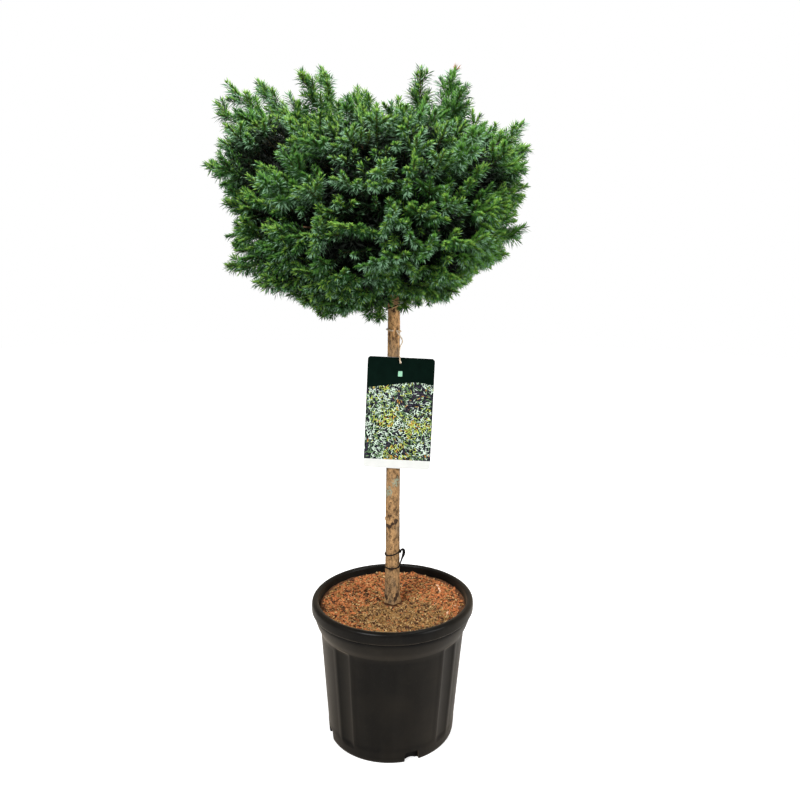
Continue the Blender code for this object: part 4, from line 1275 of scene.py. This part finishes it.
def build_needles(head, mats):
    rng = np.random.default_rng(SEED + 1)
    bases, axes, shares, sprays, layers = needle_sites(head, rng)
    long_shoots = sprays < len(LEADERS)
    way, length, flat, under = lay_needles(bases, axes, shares, layers, long_shoots, rng)
    width = NEEDLE_WIDTH * np.where(layers == 1, INNER_NEEDLE_SCALE * 1.2, 1.0)
    tones = deal_tones(bases, shares, sprays, layers, under, rng)
    hidden = MASS_NODES
    for tone in NEEDLE_TONES:
        chosen = np.flatnonzero(tones == tone)
        for part, first in enumerate(range(0, len(chosen), PIECE_NEEDLES)):
            pick = chosen[first:first + PIECE_NEEDLES]
            verts, tris = needle_mesh_arrays(bases[pick], way[pick], length[pick], flat[pick], width[pick])
            name = "needles_%s_%d" % (tone, part + 1)
            piece(name, array_mesh(name, verts, tris), mats[tone], hidden)
            hidden = ()


# ---------------------------------------------------------------- label, string and ties

def label_place():
    turn = Matrix.Rotation(math.radians(90.0), 4, "X")
    lean = Matrix.Rotation(math.radians(LABEL_TURN), 4, "Y")
    return Matrix.Translation((LABEL_CENTRE[0], LABEL_BACK - 0.0006, LABEL_CENTRE[1])) @ lean @ turn


LABEL_PLACE = label_place()          # from the card's own flat outlines to where it hangs


def rounded_outline(width, height, corner, steps=6):
    points = []
    for sx, sy, first in ((1, 1, 0), (-1, 1, 90), (-1, -1, 180), (1, -1, 270)):
        for i in range(steps + 1):
            a = math.radians(first + 90.0 * i / steps)
            points.append((sx * (width / 2 - corner) + corner * math.cos(a),
                           sy * (height / 2 - corner) + corner * math.sin(a)))
    return points


def flat_piece(name, outlines, depth, mat, thickness=PRINT_THICKNESS, replaces=()):
    """A thin plate from flat outlines, standing at a depth in front of the label's middle."""
    curve = bpy.data.curves.new(name, "CURVE")
    curve.dimensions = "2D"
    curve.fill_mode = "BOTH"
    curve.extrude = thickness / 2
    for outline in outlines:
        spline = curve.splines.new("POLY")
        spline.points.add(len(outline) - 1)
        for point, (x, y) in zip(spline.points, outline):
            point.co = (x, y, 0.0, 1.0)
        spline.use_cyclic_u = True
    mesh = evaluated_mesh(link_object(name + "_draft", curve))
    bm = bmesh.new()
    bm.from_mesh(mesh)
    bmesh.ops.remove_doubles(bm, verts=bm.verts, dist=0.00001)
    bmesh.ops.transform(bm, matrix=LABEL_PLACE @ Matrix.Translation((0, 0, depth)), verts=bm.verts)
    bm.to_mesh(mesh)
    bm.free()
    piece(name, mesh, mat, replaces)


def leaf_outline(x, y, length, width, turn):
    """A plain pointed oval."""
    points = []
    for k in range(LEAF_POINTS):
        t = k / LEAF_POINTS * 2 * math.pi
        u, v = math.cos(t) * length / 2, math.sin(t) * width / 2 * (1 - 0.45 * math.cos(t))
        points.append((x + u * math.cos(turn) - v * math.sin(turn),
                       y + u * math.sin(turn) + v * math.cos(turn)))
    return points


def build_label(mats):
    hole_at = LABEL_PLACE.inverted() @ Vector((LABEL_HOLE[0], LABEL_BACK, LABEL_HOLE[1]))
    circle = [(math.cos(2 * math.pi * i / 20), math.sin(2 * math.pi * i / 20)) for i in range(20)]
    hole = [(hole_at.x + HOLE_RIM * x, hole_at.y + HOLE_RIM * y) for x, y in circle]
    width, height = LABEL_SIZE
    card = rounded_outline(width, height, LABEL_CORNER)
    flat_piece("label_card", [card, hole], 0.0, mats["card_white"], CARD_THICKNESS, ["label"])
    arch = [(x * (width / 2 - PRINT_EDGE), height / 2 - drop) for x, drop in HEADER_EDGE]
    printed = rounded_outline(width - 2 * PRINT_EDGE, height - 2 * PRINT_EDGE, LABEL_CORNER)
    header = [p for p in printed if p[1] > 0]
    flat_piece("label_header", [header + arch[::-1], hole], HEADER_DEPTH, mats["card_green"])
    low, top = STRIP_HEIGHT - height / 2, height / 2 - HEADER_LEAST
    half = width / 2 - PRINT_EDGE
    ground = [(half, low), (half, top), (-half, top), (-half, low)]
    flat_piece("label_ground", [ground], GROUND_DEPTH, mats["card_ground"])
    build_leaves(low, top, half, mats)
    mark = [(hole_at.x + MARK_FROM_HOLE[0] + x, hole_at.y + MARK_FROM_HOLE[1] + y)
            for x, y in rounded_outline(*MARK_SIZE, 3)]
    flat_piece("label_mark", [mark], MARK_DEPTH, mats["card_mark"])


def build_leaves(low, top, half, mats):
    """The card's plain pattern: small paired leaves along curved lines, their tones in patches."""
    rng = random.Random(SEED + 3)
    width = 2 * half
    patches = [(rng.uniform(-0.5, 0.5) * width, rng.uniform(low, top), PATCHES[k % len(PATCHES)])
               for k in range(PATCH_COUNT)]
    leaves = {}
    across, up = LEAF_GRID
    for number in range(across * up):
        x = ((number % across + rng.random()) / across - 0.5) * width
        y = low + (number // across + rng.random()) / up * (top - low)
        shares = min(patches, key=lambda patch: (x - patch[0]) ** 2 + (y - patch[1]) ** 2)[2]
        heading = 1.1 + 1.5 * math.sin(38 * x + 21 * y) + 1.2 * math.cos(47 * y - 12 * x)
        for side in (-1, 1):
            tone = rng.choices(list(shares), shares.values())[0]
            turn = heading + side * rng.uniform(*LEAF_TURN)
            size = rng.uniform(*LEAF_LENGTH)
            centre = (x + math.cos(turn) * size / 2, y + math.sin(turn) * size / 2)
            outline = [(max(-half, min(half, u)), max(low, min(top, v)))
                       for u, v in leaf_outline(*centre, size, rng.uniform(*LEAF_WIDTH), turn)]
            depth = LEAF_DEPTH + LEAF_STEP * ((2 * number + side) % LEAF_STEPS)
            leaves.setdefault(tone, []).append((outline, depth))
    for tone in sorted(leaves):
        mesh_leaves(tone, leaves[tone], mats[tone])


def mesh_leaves(name, leaves, mat):
    """Flat printed ovals, one fan each."""
    verts, tris = [], []
    for outline, depth in leaves:
        base = len(verts)
        verts += [tuple(LABEL_PLACE @ Vector((x, y, depth))) for x, y in outline]
        tris += [(base, base + k, base + k + 1) for k in range(1, len(outline) - 1)]
    piece("label_" + name, array_mesh("label_" + name, np.array(verts), np.array(tris)), mat)


def twisted(path, radius, turns_per_metre, strands=2, sides=6):
    """Strands laid round a path."""
    along = unit(np.gradient(path, axis=0))
    lengths = np.concatenate(((0,), np.cumsum(np.linalg.norm(np.diff(path, axis=0), axis=1))))
    across = np.zeros_like(path)
    last = tangent_pair(along[0])[0]
    for i, axis in enumerate(along):
        last = unit(last - axis * np.dot(last, axis))
        across[i] = last
    other = np.cross(along, across)
    parts = []
    for k in range(strands):
        turn = lengths * turns_per_metre * 2 * np.pi + k * 2 * np.pi / strands
        strand = path + (across * np.cos(turn)[:, None] + other * np.sin(turn)[:, None]) * radius * 0.5
        parts.append(tube_arrays(strand[None], np.full((1, len(path)), radius * 0.62), sides))
    return join_arrays(parts)


def build_string(mats):
    axis = trunk_axis(STRING_HEIGHT)
    reach = trunk_radius(STRING_HEIGHT) + STRING_RADIUS + 0.0003
    loop = []
    for i in range(15):
        a = math.radians(-62.0 + 330.0 * i / 14)
        x, y = reach * math.cos(a), reach * math.sin(a)
        loop.append(axis + np.array((x, y, -0.13 * x)))
    front = LABEL_BACK - 0.0012
    fall = [(0.0112, -0.0150, 0.7490), (0.0074, -0.0168, 0.7370), (0.0064, front - 0.0016, 0.7235),
            (LABEL_HOLE[0] - 0.001, front - 0.0016, 0.7120), (LABEL_HOLE[0], front - 0.0009, LABEL_HOLE[1]),
            (LABEL_HOLE[0], LABEL_BACK + 0.0004, LABEL_HOLE[1] - 0.0006)]
    path = smooth_path(loop[::-1] + [np.array(p) for p in fall], 260)
    mesh = array_mesh("label_twine", *twisted(path, STRING_RADIUS, STRING_TWIST))
    piece("label_twine", mesh, mats["string"], ["label_string"], smooth=True)


def build_ties(mats):
    a = np.linspace(0, 2 * np.pi, 73)[:-1]
    for number, (height, tilt) in enumerate(zip(TIE_HEIGHTS, TIE_TILTS), 1):
        reach = trunk_radius(height) + TIE_RADIUS * 0.2
        x, y = reach * np.cos(a), reach * np.sin(a)
        wave = 0.0006 * np.sin(2 * a + number)
        path = trunk_axis(height) + np.stack((x, y, x * tilt + wave), -1)
        name = "tie_band_%d" % number
        mesh = array_mesh(name, *closed_ring(path, TIE_RADIUS * 0.9, 10))
        piece(name, mesh, mats["tie"], ["tie_%d" % number], smooth=True)
    path = smooth_path(TIE_LOOP, 60)
    swell = 1.05 + TIE_LOOP_SWELL * np.exp(-((np.linspace(0, 1, 60) - 0.40) / 0.22) ** 2)
    mesh = array_mesh("tie_end", *tube_arrays(path[None], (TIE_RADIUS * swell)[None], 10))
    piece("tie_end", mesh, mats["tie"], smooth=True)


# ---------------------------------------------------------------- floor, light and camera

CAMERA_AT = (0.0812, -1.3736, 0.891)
CAMERA_PITCH = 4.58               # degrees down
CAMERA_ROLL = 1.11
LENS = 33.33
SHIFT = (-0.0509, -0.0961)

BACKDROP = 1.0
SKY_LIGHT = 0.22
FLOOR_RADIUS = 7.0
FLOOR_GREY = (0.62, 0.62, 0.62)
WHITE = (1.0, 1.0, 1.0)
# the floor is a little darker than the backdrop near the pot, and as pale further out
FLOOR_GLOW = 0.66
FLOOR_NEAR, FLOOR_FAR = 0.35, 1.3
LIGHTS = (                        # name, place, the height it looks at, size, watts
    ("key", (-1.5, -2.3, 2.7), 0.8, 1.4, 120),
    ("fill", (2.3, -1.3, 1.5), 0.7, 1.6, 52),
    ("top", (0.2, 0.3, 3.0), 0.6, 1.8, 74),
)


def build_camera():
    data = bpy.data.cameras.new("camera")
    data.lens = LENS
    data.sensor_width = 36.0
    data.shift_x, data.shift_y = SHIFT
    data.clip_start = 0.05
    camera = link_object("camera", data)
    look = Matrix.Rotation(math.radians(90.0 - CAMERA_PITCH), 4, "X")
    roll = Matrix.Rotation(math.radians(CAMERA_ROLL), 4, "Z")
    camera.matrix_world = Matrix.Translation(CAMERA_AT) @ look @ roll
    bpy.context.scene.camera = camera


def build_light(name, at, aim_height, size, power):
    data = bpy.data.lights.new(name, "AREA")
    data.shape = "DISK"
    data.size = size
    data.energy = power
    light = link_object(name, data)
    light.location = at
    way = Vector((0, 0, aim_height)) - Vector(at)
    light.rotation_euler = way.to_track_quat("-Z", "Y").to_euler()


def build_floor():
    bm = bmesh.new()
    bmesh.ops.create_circle(bm, cap_ends=True, segments=96, radius=FLOOR_RADIUS)
    floor = link_object("studio_floor", finished_mesh(bm, "studio_floor"))
    mat, nodes, shader, coords = new_material("studio_floor", 0.9, 0.1)
    nodes.link(FLOOR_GREY, shader.inputs["Base Color"])
    nodes.link(WHITE, shader.inputs["Emission Color"])
    seen = nodes.add("ShaderNodeLightPath").outputs["Is Camera Ray"]
    away = nodes.vector("LENGTH", coords)
    glow = nodes.mapped(away, FLOOR_NEAR, FLOOR_FAR, FLOOR_GLOW, BACKDROP)
    nodes.link(nodes.math("MULTIPLY", seen, glow), shader.inputs["Emission Strength"])
    floor.data.materials.append(mat)


def build_studio():
    build_floor()
    world = bpy.data.worlds.new("studio")
    bpy.context.scene.world = world
    world.use_nodes = True
    nodes = Nodes(world.node_tree)
    sky = world.node_tree.nodes["Background"]
    nodes.link(WHITE, sky.inputs["Color"])
    seen = nodes.add("ShaderNodeLightPath").outputs["Is Camera Ray"]
    strength = nodes.math("MULTIPLY", seen, BACKDROP - SKY_LIGHT)
    nodes.link(nodes.math("ADD", strength, SKY_LIGHT), sky.inputs["Strength"])
    for row in LIGHTS:
        build_light(*row)
    bpy.context.scene.view_settings.view_transform = "Standard"


# ---------------------------------------------------------------- build

def main():
    build_camera()
    build_studio()
    mats = build_materials()
    build_pot(mats)
    build_mulch_bed(mats)
    build_shreds(mats)
    build_trunk(mats)
    build_boughs(mats)
    head = grow_head()
    build_twigs(head, mats)
    build_needles(head, mats)
    build_label(mats)
    build_string(mats)
    build_ties(mats)
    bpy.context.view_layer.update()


main()
